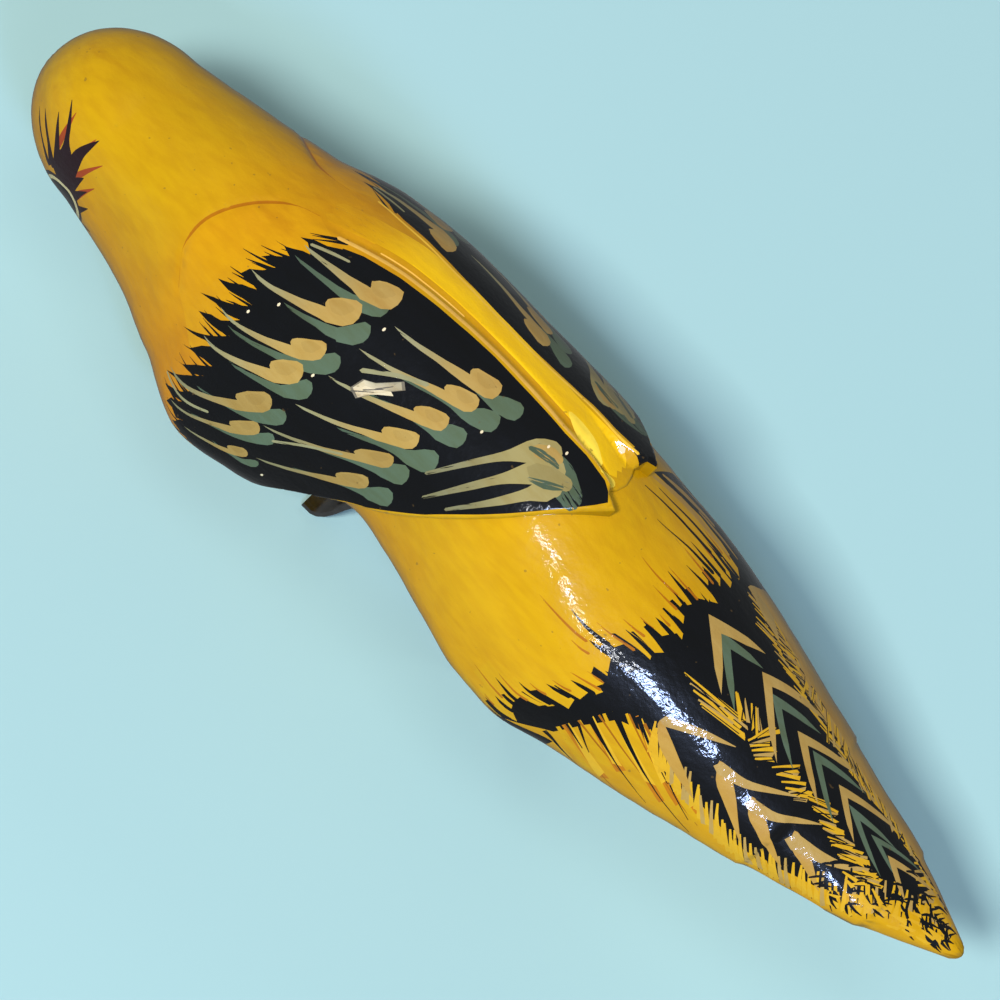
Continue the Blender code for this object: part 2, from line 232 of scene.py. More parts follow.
def wing_outline():
    """The raised layer's outline, as (station, degrees), from the left shoulder to the right."""
    stations = np.append(np.arange(SHOULDER, WING_TIP - 0.2, 0.5), WING_TIP)
    left = turned(np.stack((stations, through(WING_EDGE, stations)), -1))
    at, given = np.linspace(0, len(STRIP_END) - 1, 40), range(len(STRIP_END))
    end = np.stack([np.interp(at, given, STRIP_END[:, k]) for k in (0, 1)], -1)
    return np.vstack((left, turned(end), left[::-1] * (1, -1)))


OUTLINE = wing_outline()


def marks(station, angle):
    """Shallow marks of the knife, 0 to 1."""
    wave = np.sin(station * 0.83 + 2.1 * np.sin(angle * 2.3)) * np.sin(angle * 5.1 + station * 0.21)
    wave += 0.6 * np.sin(station * 1.9 + angle * 3.7 + 1.0) * np.sin(angle * 9.3 - station * 0.37)
    return 0.5 - 0.5 * wave / 1.6


def block_radius(station, angle):
    size = polar(BLOCK, station, angle)
    near = distance(station, np.abs(angle), size, SHOULDER_ARC)
    fade = np.minimum(size / 6, 1)
    step = STEP_DEPTH * np.exp(-((near / STEP_WIDTH) ** 2))
    return size - fade * (BODY_MARKS * marks(station, angle) + step)


def mantle_radius(station, angle):
    under = block_radius(station, angle)
    size = wing_radius(station, angle) - START_DEPTH * (1 - ease(SHOULDER, RISEN, station))
    gap = size - WING_MARKS * marks(station + 3, angle) - under
    groove = GROOVE_DEPTH * np.exp(-((gap / GROOVE_WIDTH) ** 2))
    gap = 0.5 * (gap + np.sqrt(gap * gap + GAP_BLEND)) - groove
    gap = np.maximum(gap, 0) * ease(SHOULDER, SHOULDER + 1.5, station)
    side = np.radians(dorsal_angle(station))
    on_strip = ease(-0.1, 0.9, (side - np.abs(angle)) * size)
    gap = gap * (1 - STRIP_FALL * on_strip * ease(*STRIP_FALLS, station))
    size = under + gap
    off = distance(station, angle, size, OUTLINE[1:-1])
    off = np.where(holds(OUTLINE, station, angle) | (station < SHOULDER + 0.2), off, -off)
    rim = np.minimum(RIM, 0.6 * gap)
    rest = np.clip(1 - off / np.maximum(rim, 1e-4), 0, 1)
    size = size - rim * (1 - np.sqrt(1 - rest * rest)) - np.where(off < 0, -2 * off, 0)
    beyond = (side - np.abs(angle)) * size
    round_it = 0.5 - 0.5 * np.cos(2 * np.pi * np.clip((beyond - 0.1) / CHANNEL_WIDTH, 0, 1))
    channel = round_it * np.where(angle > 0, CHANNEL, 0)
    size = size - channel * ease(*CHANNEL_START, station) * (1 - ease(*CHANNEL_END, station))
    chip = holds(CHIP, station, angle)
    if chip.any():
        deep = distance(station[chip], angle[chip], size[chip], np.vstack((CHIP, CHIP[:1])))
        size[chip] -= CHIP_DEPTH * np.clip(deep / CHIP_WALL, 0, 1)
    return size


def place(station, angle, size):
    """Points in metres, at a radius from the block's middle."""
    height = AXIS_HEIGHT + section(BLOCK, station)[1] + size * np.cos(angle)
    return np.stack((MIDDLE - station, size * np.sin(angle), height), -1) * MM


def normals_of(surface, station, angle):
    """Outward normals of a surface from small steps on it."""
    step, turn = 0.03, 0.002
    ahead = place(station + step, angle, surface(station + step, angle))
    behind = place(station - step, angle, surface(station - step, angle))
    left = place(station, angle + turn, surface(station, angle + turn))
    right = place(station, angle - turn, surface(station, angle - turn))
    normal = np.cross(left - right, ahead - behind)
    length = np.linalg.norm(normal, axis=1, keepdims=True)
    return normal / np.maximum(length, 1e-15)


def to_flat(points):
    """(station, degrees) in the flat pattern. The head's cap is unrolled along its arc."""
    points = np.array(points, float)[:, :2]
    reach = CROWN - HEAD_FRONT
    short = np.clip((CROWN - points[:, 0]) / reach, 0, 1)
    drawn = np.where(points[:, 0] < CROWN, CROWN - reach * np.arcsin(short), points[:, 0])
    return np.stack((drawn, np.radians(points[:, 1]) * FLAT), -1)


def from_flat(points):
    reach = CROWN - HEAD_FRONT
    drawn = points[:, 0]
    station = np.where(drawn < CROWN, CROWN - reach * np.sin((CROWN - drawn) / reach), drawn)
    return station, points[:, 1] / FLAT


def linear(red, green, blue):
    values = np.array((red, green, blue)) / 255
    return np.where(values <= 0.04045, values / 12.92, ((values + 0.055) / 1.055) ** 2.4)


YELLOW, ORANGE, RUMP = linear(198, 155, 2), linear(202, 124, 2), linear(208, 158, 2)
BLACK = linear(8, 9, 12)
TAN, GREEN = linear(182, 149, 80), linear(88, 106, 84)
CREAM, PALE = linear(238, 222, 186), linear(214, 196, 150)
FEATHER_YELLOW = linear(214, 166, 30)
TAIL_TONE, MOTTLED = linear(150, 146, 108), linear(160, 146, 92)
PLUM, RED = linear(38, 20, 26), linear(158, 64, 24)

layers = []


def curve(points, step=0.7):
    """A smooth line through points whose first two columns are station and degrees."""
    p = np.array(points, float)
    reach = np.hypot(np.diff(p[:, 0]), np.diff(p[:, 1]) * 0.2)
    t = np.append(0, np.cumsum(np.maximum(reach, 1e-3)))
    if len(p) == 2:
        slopes = np.array([(p[1] - p[0]) / t[1]] * 2)
    else:
        slopes = np.gradient(p, t, axis=0)
    at = np.linspace(0, t[-1], max(int(t[-1] / step), 3) + 1)
    i = np.clip(np.searchsorted(t, at, side="right") - 1, 0, len(t) - 2)
    h = (t[i + 1] - t[i])[:, None]
    x = ((at - t[i]) / h[:, 0])[:, None]
    return (
        (1 + 2 * x) * (1 - x) ** 2 * p[i] + x * (1 - x) ** 2 * h * slopes[i]
        + x * x * (3 - 2 * x) * p[i + 1] - x * x * (1 - x) * h * slopes[i + 1]
    )


def lay(outline, colour, zone="any", dry=(1, 1), line=None):
    """One patch of paint. Where dry is under 1 the layer below shows through in streaks."""
    outline = np.array(outline, float)[:, :2]
    line = outline[[0, len(outline) // 2]] if line is None else np.array(line, float)[[0, -1], :2]
    layers.append((to_flat(outline), np.atleast_2d(colour), zone, dry, to_flat(line)))


def radius_at(points, zone):
    angle = np.radians(points[:, 1])
    return wing_radius(points[:, 0], angle) if zone == "wing" else polar(BLOCK, points[:, 0], angle)


def ways(line):
    """The direction of a line at each of its points, and the direction to its left."""
    way = np.gradient(line, axis=0)
    way /= np.maximum(np.linalg.norm(way, axis=1, keepdims=True), 1e-9)
    return way, np.stack((-way[:, 1], way[:, 0]), -1)


def wrapped(ring, size):
    """Places in mm along the bird and mm round it, as (station, degrees)."""
    return np.stack((ring[:, 0], np.degrees(ring[:, 1] / size)), -1)


def mirrored(points, side):
    return [(s, a * side, *rest) for s, a, *rest in points]


def ribbon(points, colour, zone="any", dry=(1, 1), round_end=True):
    """A brush stroke along (station, degrees, width in mm)."""
    p = curve(points)
    size = radius_at(p, zone)
    drawn = np.stack((p[:, 0], np.radians(p[:, 1]) * size), -1)
    way, side = ways(drawn)
    half = p[:, 2:3] / 2
    if round_end and half[-1, 0] > 0.25:
        turns = np.radians(np.linspace(70, -70, 5))[:, None]
        last = drawn[-1] + half[-1] * (way[-1] * np.cos(turns) + side[-1] * np.sin(turns))
    else:
        last = [drawn[-1] + way[-1] * max(half[-1, 0], 0.1)]
    first = [drawn[0] - way[0] * max(half[0, 0], 0.1)]
    ring = np.vstack((drawn + side * half, last, (drawn - side * half)[::-1], first))
    near = np.concatenate((size, [size[-1]] * len(last), size[::-1], [size[0]]))
    lay(wrapped(ring, near), colour, zone, dry, p)


def hair(points, colour=BLACK, dry=(1, 1)):
    """A thin stroke on the body that ends as it is drawn."""
    ribbon(points, colour, "block", dry, round_end=False)


def metric(points, zone):
    """Places as mm along the bird and mm round it, with the radius that was used."""
    points = np.array(points, float)
    size = max(float(radius_at(points, zone).mean()), 0.5)
    return np.stack((points[:, 0], np.radians(points[:, 1]) * size), -1), size


def shape(origin, way, size, pairs, colour, zone, dry, line):
    """A closed patch, given as (along, across) in mm from a point on the surface."""
    pairs = np.array(pairs, float)
    ring = origin + (pairs[:, :1] * way + pairs[:, 1:] * np.array((-way[1], way[0])))
    lay(wrapped(ring, size), colour, zone, dry, line)


def bar(start, end, wide, narrow, colour, dry=(1, 1)):
    """A straight stroke with square ends, as wide as asked at its start and at its end."""
    (a, b), size = metric([start, end], "block")
    length = max(float(np.linalg.norm(b - a)), 0.05)
    skew = rng.uniform(-0.5, 0.5) * narrow
    pairs = ((0, wide / 2), (length + skew, narrow / 2), (length - skew, -narrow / 2), (0, -wide / 2))
    shape(a, (b - a) / length, size, pairs, colour, "block", dry, [start, end])


def hatch(first, second, count, widths, colours, dry=(1, 0.85), loose=0.12):
    """Straight strokes from points along one line to points along another."""
    (a0, a1), (b0, b1) = np.array(first, float), np.array(second, float)
    for i, share in enumerate(np.linspace(0, 1, count)):
        near = max(0.0, min(1.0, share + rng.normal(0, loose / count * 3)))
        start, end = a0 + (a1 - a0) * near, b0 + (b1 - b0) * share
        reach = 1 + rng.uniform(-loose, loose) * 1.5
        wide, narrow = (width * rng.uniform(0.7, 1.3) for width in widths)
        bar(start, start + (end - start) * reach, wide, narrow, colours[i % len(colours)], dry)


def vee(left, apex, right, width, colour):
    """Two straight arms that taper to points and meet at a sharp apex."""
    (a, p, b), size = metric([left, apex, right], "block")
    to_a, to_b = ((end - p) / np.linalg.norm(end - p) for end in (a, b))
    middle = (to_a + to_b) / max(np.linalg.norm(to_a + to_b), 1e-6)
    half = math.acos(float(np.clip(to_a @ to_b, -1, 1))) / 2
    deep = middle * min(width / 2 / max(math.sin(half), 0.25), 1.6 * width)
    side = np.array((-middle[1], middle[0]))
    arms = []
    for end, way in ((a, to_a), (b, to_b)):
        out = np.array((-way[1], way[0]))
        if (out @ side) * (way @ side) <= 0:
            out = -out
        belly = p + (end - p) * 0.62
        arms.append((belly + out * width * 0.36, end, belly - out * width * 0.36))
    ring = np.array([p - deep, *arms[0], p + deep, *arms[1][::-1]])
    lay(wrapped(ring, size), colour, "block", (1.0, 0.9), [apex, left])


# A wing stroke's outline, as shares of its length and of its width
THIN_TAIL = [(0, 0.06), (0.25, 0.08), (0.5, 0.09), (0.66, 0.08)]
NOTCH = [(0.715, 0.06), (0.70, 0.2), (0.705, 0.36), (0.74, 0.47), (0.8, 0.52)]
NO_NOTCH = [(0.74, 0.2), (0.82, 0.4)]
BELLY = [(0.7, -0.42), (0.58, -0.29), (0.44, -0.18), (0.28, -0.12), (0.1, -0.06)]
FAT_END = ((0.35, 0.52), (0.1, 0.4), (0, 0.12), (0, -0.12), (0.1, -0.36), (0.4, -0.5), (1, -0.5))
SAG = 0.045  # how far a stroke hangs, as a share of its length
BLOB = [(math.cos(t) * (1.5 + 0.3 * math.sin(3 * t)), math.sin(t)) for t in np.linspace(0, 5.9, 14)]


def comma(start, end, width, side, colour, notch=True, dry=(0.5, 1.0)):
    """A wing stroke: a thin tail that widens below into a fat end, with a notch above."""
    start, end = turned([start, end])
    (a, b), size = metric([start, end], "wing")
    length = float(np.linalg.norm(b - a))
    way = (b - a) / length
    fat = min(width / length, 0.3)
    pairs = THIN_TAIL + (NOTCH if notch else NO_NOTCH) + [(1 - k * fat, v) for k, v in FAT_END] + BELLY
    placed = []
    for (t, across), noise in zip(pairs, rng.normal(0, 0.02, len(pairs))):
        # Across is towards the belly in mm, so the drawing's up is minus
        sag = SAG * length * math.sin(math.pi * min(t, 1))
        placed.append((t * length, sag - (across + noise * min(1, 3 * abs(across))) * width))
    shape(a, way, size, placed, colour, "wing", dry, [start, end])
    if notch:
        eye = [(length * (1 - 0.75 * fat) + x * 0.3 * width, -(0.05 + y * 0.27) * width) for x, y in BLOB]
        tones = [colour[-1] * 1.12, colour[-1] * 0.92]
        shape(a, way, size, eye, tones, "wing", (0.8, 0.75), [start, end])
    if side < 0:
        for i in range(-2 if notch else -1, 0):
            outline, tone, zone, cover, line = layers[i]
            layers[i] = (outline * (1, -1), tone, zone, cover, line * (1, -1))


# Wing strokes: start, end, width in mm. Round the wing's own middle, on the left wing.
TAN_STROKES = (
    ((29.1, 18.4), (39.7, 13.9), 2.7), ((27.1, 36.2), (37.9, 23.5), 2.6), ((27.5, 53.0), (38.0, 37.6), 2.0),
    ((28.2, 64.7), (37.9, 47.2), 2.4), ((27.8, 89.0), (37.6, 61.4), 2.2), ((30.0, 94.3), (38.5, 73.6), 1.7),
    ((32.8, 94.4), (39.3, 87.6), 1.4), ((41.0, 21), (52.8, 16), 2.4), ((40.1, 32), (52.2, 25), 2.1),
    ((39.8, 44), (51.4, 37), 2.1), ((39.2, 58), (50.6, 49), 2.1), ((38.5, 72), (50.2, 61), 1.9),
    ((40.2, 88), (49.9, 75), 2.1),
)
GREEN_STROKES = (
    ((29.1, 22.6), (39.5, 17.9), 2.2), ((31.7, 34.0), (39.9, 26.8), 2.4), ((29.3, 53.2), (39.9, 38.9), 2.2),
    ((31.8, 59.5), (39.7, 50.7), 2.2), ((30.9, 77.1), (39.7, 64.3), 2.0), ((32.0, 87.3), (40.3, 75.1), 1.6),
    ((35.8, 90.9), (40.8, 91.0), 1.2), ((44.5, 21), (55.8, 16), 2.2), ((43.7, 33), (54.9, 24.5), 2.3),
    ((43.0, 43), (53.7, 37), 2.3), ((43.7, 60), (53.4, 50), 2.5), ((42.1, 71), (52.3, 62), 2.3),
    ((43.4, 86), (52.7, 74), 2.3),
)
# The black's front, by turns a valley of the yellow and the tip of a black brush hair
FRONT = (
    (32.1, 11.6), (28.3, 17.2), (31.0, 18.1), (26.7, 23.7), (29.9, 22.9), (26.9, 30.6), (28.7, 29.0),
    (26.6, 39.9), (28.9, 37.8), (25.3, 48.9), (29.9, 41.3), (25.0, 58.9), (29.8, 47.9), (26.1, 63.0),
    (30.1, 54.1), (26.0, 73.9), (29.7, 61.5), (27.1, 77.1), (30.9, 66.0), (27.3, 85.3), (30.9, 71.5),
    (27.6, 92.5), (31.1, 79.4), (28.4, 95.4), (31.0, 87.4), (29.7, 97.5), (32.4, 92.1), (31.4, 99.0),
    (34.0, 98.4),
)
WING_BACK = (
    (36, 104), (39.5, 112), (43.0, 107), (46.8, 97.3), (51.3, 86.0), (55.9, 68.0), (60.8, 47.2), (64.6, 30.6),
    (67.0, 19.6), (67.7, 15.6), (67.0, 12.6), (66.0, 10.6), (63.0, 9.1), (60.0, 9.1), (56.4, 8.1),
    (50.0, 7.2), (42.7, 7.5), (38.0, 8.2), (34.0, 9.5), (32.0, 11.4),
)
# On the right wing the black reaches the very tip
FULL_TIP = ((67.0, 22.0), (68.3, 17.0), (68.75, 14.6), (68.4, 11.6), (67.2, 9.6), (65.6, 8.4))
SECOND_TAILS = (
    ((41.8, 37, 0.5), (44.6, 33, 0.5), (47.2, 30, 0.5)), ((27.9, 92, 0.3), (31.0, 86, 0.35), (33.6, 80, 0.3)),
    ((40.3, 76, 0.35), (43.4, 72, 0.35), (46.0, 69, 0.3)),
    ((29.6, 16.5, 0.3), (31.4, 14.6, 0.35), (33.4, 13.2, 0.25)),
)
# Three long strokes that run together near the wing's tip
LAST_STROKES = (
    ((53.2, 55, 0.35), (55.3, 42, 0.6), (57.5, 30, 0.95), (59.6, 20, 2.4), (60.4, 17.5, 2.2)),
    ((54.6, 63, 0.3), (56.9, 48, 0.7), (58.9, 36, 1.0), (60.8, 26, 2.3), (61.8, 22, 2.6)),
    ((57.0, 60, 0.3), (60.3, 42, 0.8), (61.8, 33, 1.3), (62.6, 28, 2.2), (63.2, 26, 1.4)),
)


def paint_wing(side):
    """The black of a wing with its spiky front, and the strokes of tan and green on it."""
    def stroke(points, colour, dry=(1, 1), round_end=True):
        ribbon(turned(points) * (1, side, 1), colour, "wing", dry, round_end)

    front = []
    for here, after in zip(FRONT[:-1], FRONT[1:]):
        front.append(here)
        for part in (0.35, 0.7):
            shift = [rng.normal(0, spread) for spread in (0.12, 0.7)]
            front.append(tuple(here[k] + (after[k] - here[k]) * part + shift[k] for k in (0, 1)))
    lay(turned(front + list(WING_BACK)) * (1, side), BLACK, "wing")
    if side < 0:
        lay(turned(FULL_TIP) * (1, side), BLACK, "wing")
    for low in FRONT[::2]:
        for _ in range(3):
            s, a = low[0] - rng.uniform(0.0, 1.2), low[1] + rng.uniform(-1.5, 5)
            long = rng.uniform(1.2, 2.6)
            spike = [(s + 0.9, a - 1.5, 0.34), (s - long * 0.4, a + 1.6, 0.2), (s - long, a + 4.0, 0.05)]
            stroke(spike, BLACK, round_end=False)
    for start, end, width in GREEN_STROKES:
        comma(start, end, width * 1.04, side, [GREEN * 0.75, GREEN], notch=False)
    for start, end, width in TAN_STROKES:
        dim = 1.0 if start[1] < 70 else 0.82
        comma(start, end, width, side, [TAIL_TONE * dim, TAN * dim], dry=(0.62, 0.97))
    for points in SECOND_TAILS:
        stroke(points, TAIL_TONE, (0.6, 0.75))
    stroke([(60.2, 21, 2.8), (62.6, 22, 3.4), (64.8, 24, 2.4)], GREEN * 0.8, (0.78, 0.52))
    for points in LAST_STROKES:
        stroke(points, [TAIL_TONE * 0.7, MOTTLED], (0.55, 0.82))
    stroke([(60.4, 27, 1.6), (62.0, 24.5, 2.0), (63.6, 22, 1.3)], MOTTLED * 0.85, (0.9, 0.62))
    stroke([(59.2, 21, 1.2), (60.6, 18.4, 1.5), (61.4, 17.6, 0.9)], TAN * 0.9, (0.8, 0.8))
    stroke([(58.6, 22, 0.4), (60.4, 20, 0.9), (61.8, 20, 0.5)], GREEN * 0.7, (0.55, 0.5))
    stroke([(60.6, 30, 0.3), (62.4, 27, 0.8), (63.6, 24, 0.4)], GREEN * 0.7, (0.55, 0.5))


def paint_strip():
    """The strip of back between the wings: a pale rim, a darker channel on the left with a line of painted
    shade, bright paint, and pale strokes near its end as painted highlights.
    """
    def rail(start, end, count, shift, width, colour, dry, side=1):
        stations = np.linspace(start, end, count)
        angle = (dorsal_angle(stations) - np.degrees(shift / STRIP_RADIUS)) * side
        points = np.stack((stations, angle, np.full(count, width)), -1)
        ribbon(points, colour, "wing", dry, round_end=False)

    bright, channel_shade, rim = linear(242, 192, 6), linear(196, 142, 2), linear(226, 176, 78)
    for shift in (1.75, 2.6, 3.3):
        rail(29, 43, 10, shift, 1.3, [linear(205, 148, 2), bright], (0.6, 0.95))
        rail(42, 66, 14, shift, 1.3, bright, (0.95, 0.98))
    # A darker line down the channel: painted shade
    rail(34, 62, 20, 0.95, 0.8, channel_shade, (0.95, 0.9))
    rail(31, 66.5, 24, 0.12, 0.42, rim, (0.95, 1.0))
    rail(31, 66.5, 24, 0.0, 0.26, linear(244, 196, 60), (0.9, 1.0), -1)
    rail(38, 60, 12, 1.35, 0.14, bright * 1.1, (0.85, 0.9))
    rail(35, 45, 8, 0.75, 0.16, rim * 1.3, (0.8, 0.8))
    # Pale strokes near the strip's end: painted highlights
    long = [(59.0, 1.6, 0.5), (60.6, 2.4, 1.3), (62.6, 3.6, 1.8), (64.4, 4.4, 0.7)]
    for points in (long, [(65.0, 7.4, 1.1), (66.6, 5.8, 1.0)]):
        ribbon(turned(points), linear(252, 218, 70), "wing", (0.85, 0.85))
    ribbon(turned([(64.9, -6.6, 0.4), (65.3, -6.9, 0.4)]), CREAM, "wing")


EYE = (7.8, 136.0)
EYE_RED = (
    ((7.4, 118, 1.3), (8.0, 100, 0.9), (8.6, 88, 0.5), (9.2, 79, 0.12)),
    ((8.8, 122, 1.3), (9.4, 108, 0.7), (10.0, 98, 0.12)),
    ((5.9, 112, 1.0), (6.6, 92, 1.1), (6.8, 80, 0.7), (7.0, 70, 0.1)),
    ((4.5, 104, 0.9), (4.1, 84, 0.8), (3.7, 68, 0.1)),
)
EYE_PLUM = (
    ((6.6, 118, 2.8), (6.0, 106, 2.4), (5.6, 97, 1.6), (5.0, 90, 0.8), (3.9, 77, 0.45), (2.5, 64, 0.08)),
    ((5.9, 116, 1.6), (4.4, 101, 0.8), (3.4, 90, 0.5), (2.3, 79, 0.08)),
    ((5.0, 118, 1.2), (3.3, 107, 0.5), (1.9, 99, 0.4), (0.9, 92, 0.08)),
    ((4.6, 122, 0.8), (2.6, 114, 0.35), (1.0, 106, 0.3), (0.2, 101, 0.06)),
    ((6.9, 112, 2.2), (6.8, 98, 1.5), (6.7, 86, 1.1), (7.0, 76, 0.6), (7.3, 69, 0.08)),
    ((7.6, 120, 2.0), (8.1, 108, 0.9), (8.5, 100, 0.1)),
    ((8.6, 124, 1.4), (9.2, 112, 0.5), (9.6, 106, 0.1)),
    ((9.6, 130, 1.2), (10.3, 121, 0.5), (10.7, 116, 0.1)),
    ((9.9, 140, 1.2), (11.2, 136, 0.6), (12.2, 131, 0.1)),
    ((9.2, 148, 1.2), (10.9, 150, 0.6), (12.3, 152, 0.1)),
)


def paint_head(side):
    """The ringed eye and the spikes round it."""
    size = width_of(*EYE)
    for strokes, colour, scale in ((EYE_RED, RED, 0.75), (EYE_PLUM, PLUM, 1)):
        for points in strokes:
            hair(np.array(points) * (1, side, scale), colour)
    turns = np.linspace(0, 2 * np.pi, 32, endpoint=False)
    for reach, colour in ((3.1, PLUM), (2.65, PALE), (2.15, BLACK)):
        around = np.degrees(reach * np.sin(turns) / size)
        lay(np.stack((EYE[0] + reach * np.cos(turns), side * (EYE[1] + around)), -1), colour, "block")


# Where the yellow of the rump ends over the black, from the top round to the belly
COLLAR = (
    (0, 82.0), (8, 81.7), (18, 81.4), (25, 81.5), (33, 81.2), (40, 79.4), (46, 77.6), (52, 80.4), (59, 81.0),
    (66, 79.6), (74, 78.3), (82, 76.7), (92, 75.8), (110, 75.2), (140, 76.0), (180, 77.0),
)
# Where the black of the tail ends over its yellow edge, as station and degrees
TAIL_BLACK = (
    (76.0, 101.0), (79.9, 90.0), (81.4, 78.0), (83.4, 66.0), (86.2, 62.5), (88.3, 64.5), (93.6, 72.0),
    (97.0, 77.0), (101.0, 82.0), (105.6, 81.0), (109.5, 77.0), (112.0, 68.0), (114.0, 56.0), (116.0, 44.0),
    (117.5, 30.0), (118.6, 10.0),
)
# The tan and yellow band down the other edge of the tail, its inner side and its outer side
BAND_INNER = np.array((
    (84.3, -25), (87.0, -25), (89.7, -19), (92.8, -19), (96.5, -19), (101.5, -25), (106.0, -27), (109.7, -34),
    (113.0, -38), (117.0, -46), (120.0, -48),
))
BAND_OUTER = ((120.5, -66), (113.0, -76), (105.0, -82), (97.0, -80), (91.0, -72), (87.0, -56), (85.0, -42))
BAND = linear(190, 148, 66)


def width_of(s, a):
    return float(polar(BLOCK, np.array([s]), np.radians([a]))[0])


def paint_collar():
    """The black band across the rump and the fringe of yellow strokes that ends over it."""
    front = np.array([(through(COLLAR, abs(a)) - 2.6, a) for a in range(-100, 101, 4)], float)
    lay(np.vstack((front, TAIL_BLACK[1:], mirrored(TAIL_BLACK[:0:-1], -1))), BLACK, "block")
    for side in (1, -1):
        # The black goes on round the belly as a narrow band
        low = [(through(COLLAR, a) - 2.0, a) for a in range(96, 180, 6)] + [(75.0, 180), (80.5, 180)]
        high = [(through(COLLAR, a) + 4.2 + 0.8 * math.sin(a), a) for a in range(174, 95, -6)]
        lay(mirrored(low + high, side), BLACK, "block")
        # Yellow strokes with square ends lie over it, and fine black ones run up between them
        a = 1.0
        while a < 176:
            size = width_of(80.0, a)
            width = rng.choice((0.5, 0.85, 1.3, 1.9), p=(0.25, 0.3, 0.3, 0.15))
            end = float(through(COLLAR, a)) + rng.uniform(-1.7, 1.0)
            lean = math.degrees(rng.normal(0.15, 0.12) / size)
            start = (end - rng.uniform(4.2, 6.0), (a - lean) * side)
            bar(start, (end, (a + lean) * side), width * 1.25, width, RUMP, (1, 0.82))
            a += math.degrees((width + rng.uniform(0.05, 0.3)) / size)
        a = 2.0
        while a < 176:
            size = width_of(80.0, a)
            s = float(through(COLLAR, a)) - rng.uniform(0.2, 2.2)
            long = rng.uniform(1.0, 3.2) * rng.choice((0.7, 1.0, 1.35))
            lean = math.degrees(long * 0.05 / size)
            dark = [(s + 1.2, a + lean, 0.5), (s - long * 0.4, a, 0.34), (s - long, a - lean, 0.05)]
            hair(mirrored(dark, side))
            warm = [(s - 0.6, a + 4, 0.3), (s - long, a + 4, 0.22), (s - 2 * long, a + 3.4, 0.05)]
            hair(mirrored(warm, side), ORANGE * 0.72, (0.75, 0.45))
            a += math.degrees(rng.uniform(0.6, 1.8) / size)


FLANK_BLACK = (
    (68.9, -17), (70.6, -20), (72.6, -25), (75.4, -29), (78.6, -30), (82.0, -28), (83.0, -60), (77.0, -58),
    (73.4, -46), (70.4, -33),
)
FLANK_TAN = (
    ((69.2, -15, 0.4), (72.6, -23, 0.9), (76.2, -26.5, 0.9), (80.0, -27.5, 0.3)),
    ((69.8, -22, 0.3), (73.2, -31, 0.9), (77.0, -36, 0.5)),
    ((72.0, -36, 0.3), (76.0, -44, 0.8), (80.0, -46, 0.3)),
    ((75.0, -31, 0.3), (78.0, -33.5, 0.6), (81.0, -34, 0.2)),
)
FLANK_HAIRS = (
    ((69.2, -8, 0.1), (73.5, -14, 0.3), (78.5, -17, 0.5)),
    ((70.4, -14, 0.1), (75.0, -20, 0.35), (79.4, -22, 0.6)),
    ((72.4, -4, 0.06), (76.4, -8, 0.25), (80.0, -10, 0.5)),
)


def paint_flank():
    """On the right the black runs up to the wing's end, with tan strokes in it."""
    lay(FLANK_BLACK, BLACK, "block")
    for points in FLANK_TAN:
        hair(points, BAND, (0.75, 0.85))
    for points in FLANK_HAIRS:
        hair(points, BLACK, (0.7, 1.0))


# The broad yellow strokes at the tail's edge run from the first line to the second
EDGE_TOPS = ((79.2, 92), (80.2, 82), (81.3, 73), (82.5, 64), (84.6, 59), (87.0, 61))
EDGE_ENDS = ((83.6, 101), (85.6, 94), (88.0, 87), (91.0, 83), (93.2, 80), (94.6, 77))


def paint_edge(side):
    """The yellow edge of the tail, drawn up into the black and cut by fine black strokes."""
    for k in range(len(EDGE_TOPS) - 1):
        first, second = (mirrored(line[k:k + 2], side) for line in (EDGE_TOPS, EDGE_ENDS))
        hatch(first, second, 3, (0.35, 1.0), (FEATHER_YELLOW * 1.1, RUMP, ORANGE * 0.9), (0.95, 0.9), 0.2)
        hatch(first, second, 2, (0.5, 0.08), (BLACK,), loose=0.3)
        hatch(first, second, 2, (0.25, 0.1), (BLACK, ORANGE * 0.6), (0.9, 0.6), 0.45)
    for s in np.arange(87.0, 122.5, 0.62):
        a = float(through(TAIL_BLACK, s))
        size = width_of(s, a)
        long = rng.uniform(1.4, 2.6) * min(1, (126 - s) / 14)
        turn = math.degrees(0.7 * long / size)
        lift = math.degrees(rng.uniform(0.4, 1.3) / size)
        colour = FEATHER_YELLOW if rng.random() < 0.7 else TAN
        start, end = mirrored([(s - 0.5 * long, a - lift - 0.3 * turn), (s + 0.5 * long, a + turn)], side)
        bar(start, end, 0.2, 0.5, colour, (0.95, 0.9))
        if rng.random() < 0.8:
            hair(mirrored([(s + 0.2, a - 0.5 * lift, 0.3), (s + 0.9 * long, a + turn, 0.08)], side))


# The feathers down the middle of the tail: left end, apex, right end, width in mm
MIDDLE_ROW = (
    ((88.9, 27), (83.6, 7), (89.4, -7), 1.25), ((97.7, 30), (91.2, 2), (99.0, -27), 1.0),
    ((103.7, 29), (97.9, 4), (105.1, -28), 0.9), ((108.9, 28), (104.6, 1), (112.2, -40), 0.8),
    ((116.9, 37), (113.1, 5), (119.3, -44), 0.65),
)
MIDDLE_GREEN = (
    ((91.1, 28), (85.4, 8), (90.2, 0), 1.0), ((99.4, 25), (93.4, 5), (99.1, -13), 0.85),
    ((106.1, 30), (100.3, 3), (106.7, -23), 0.75), ((113.3, 35), (106.9, 5), (112.7, -15), 0.65),
    ((115.4, 20), (110.4, 4), (116.4, -38), 0.5),
)
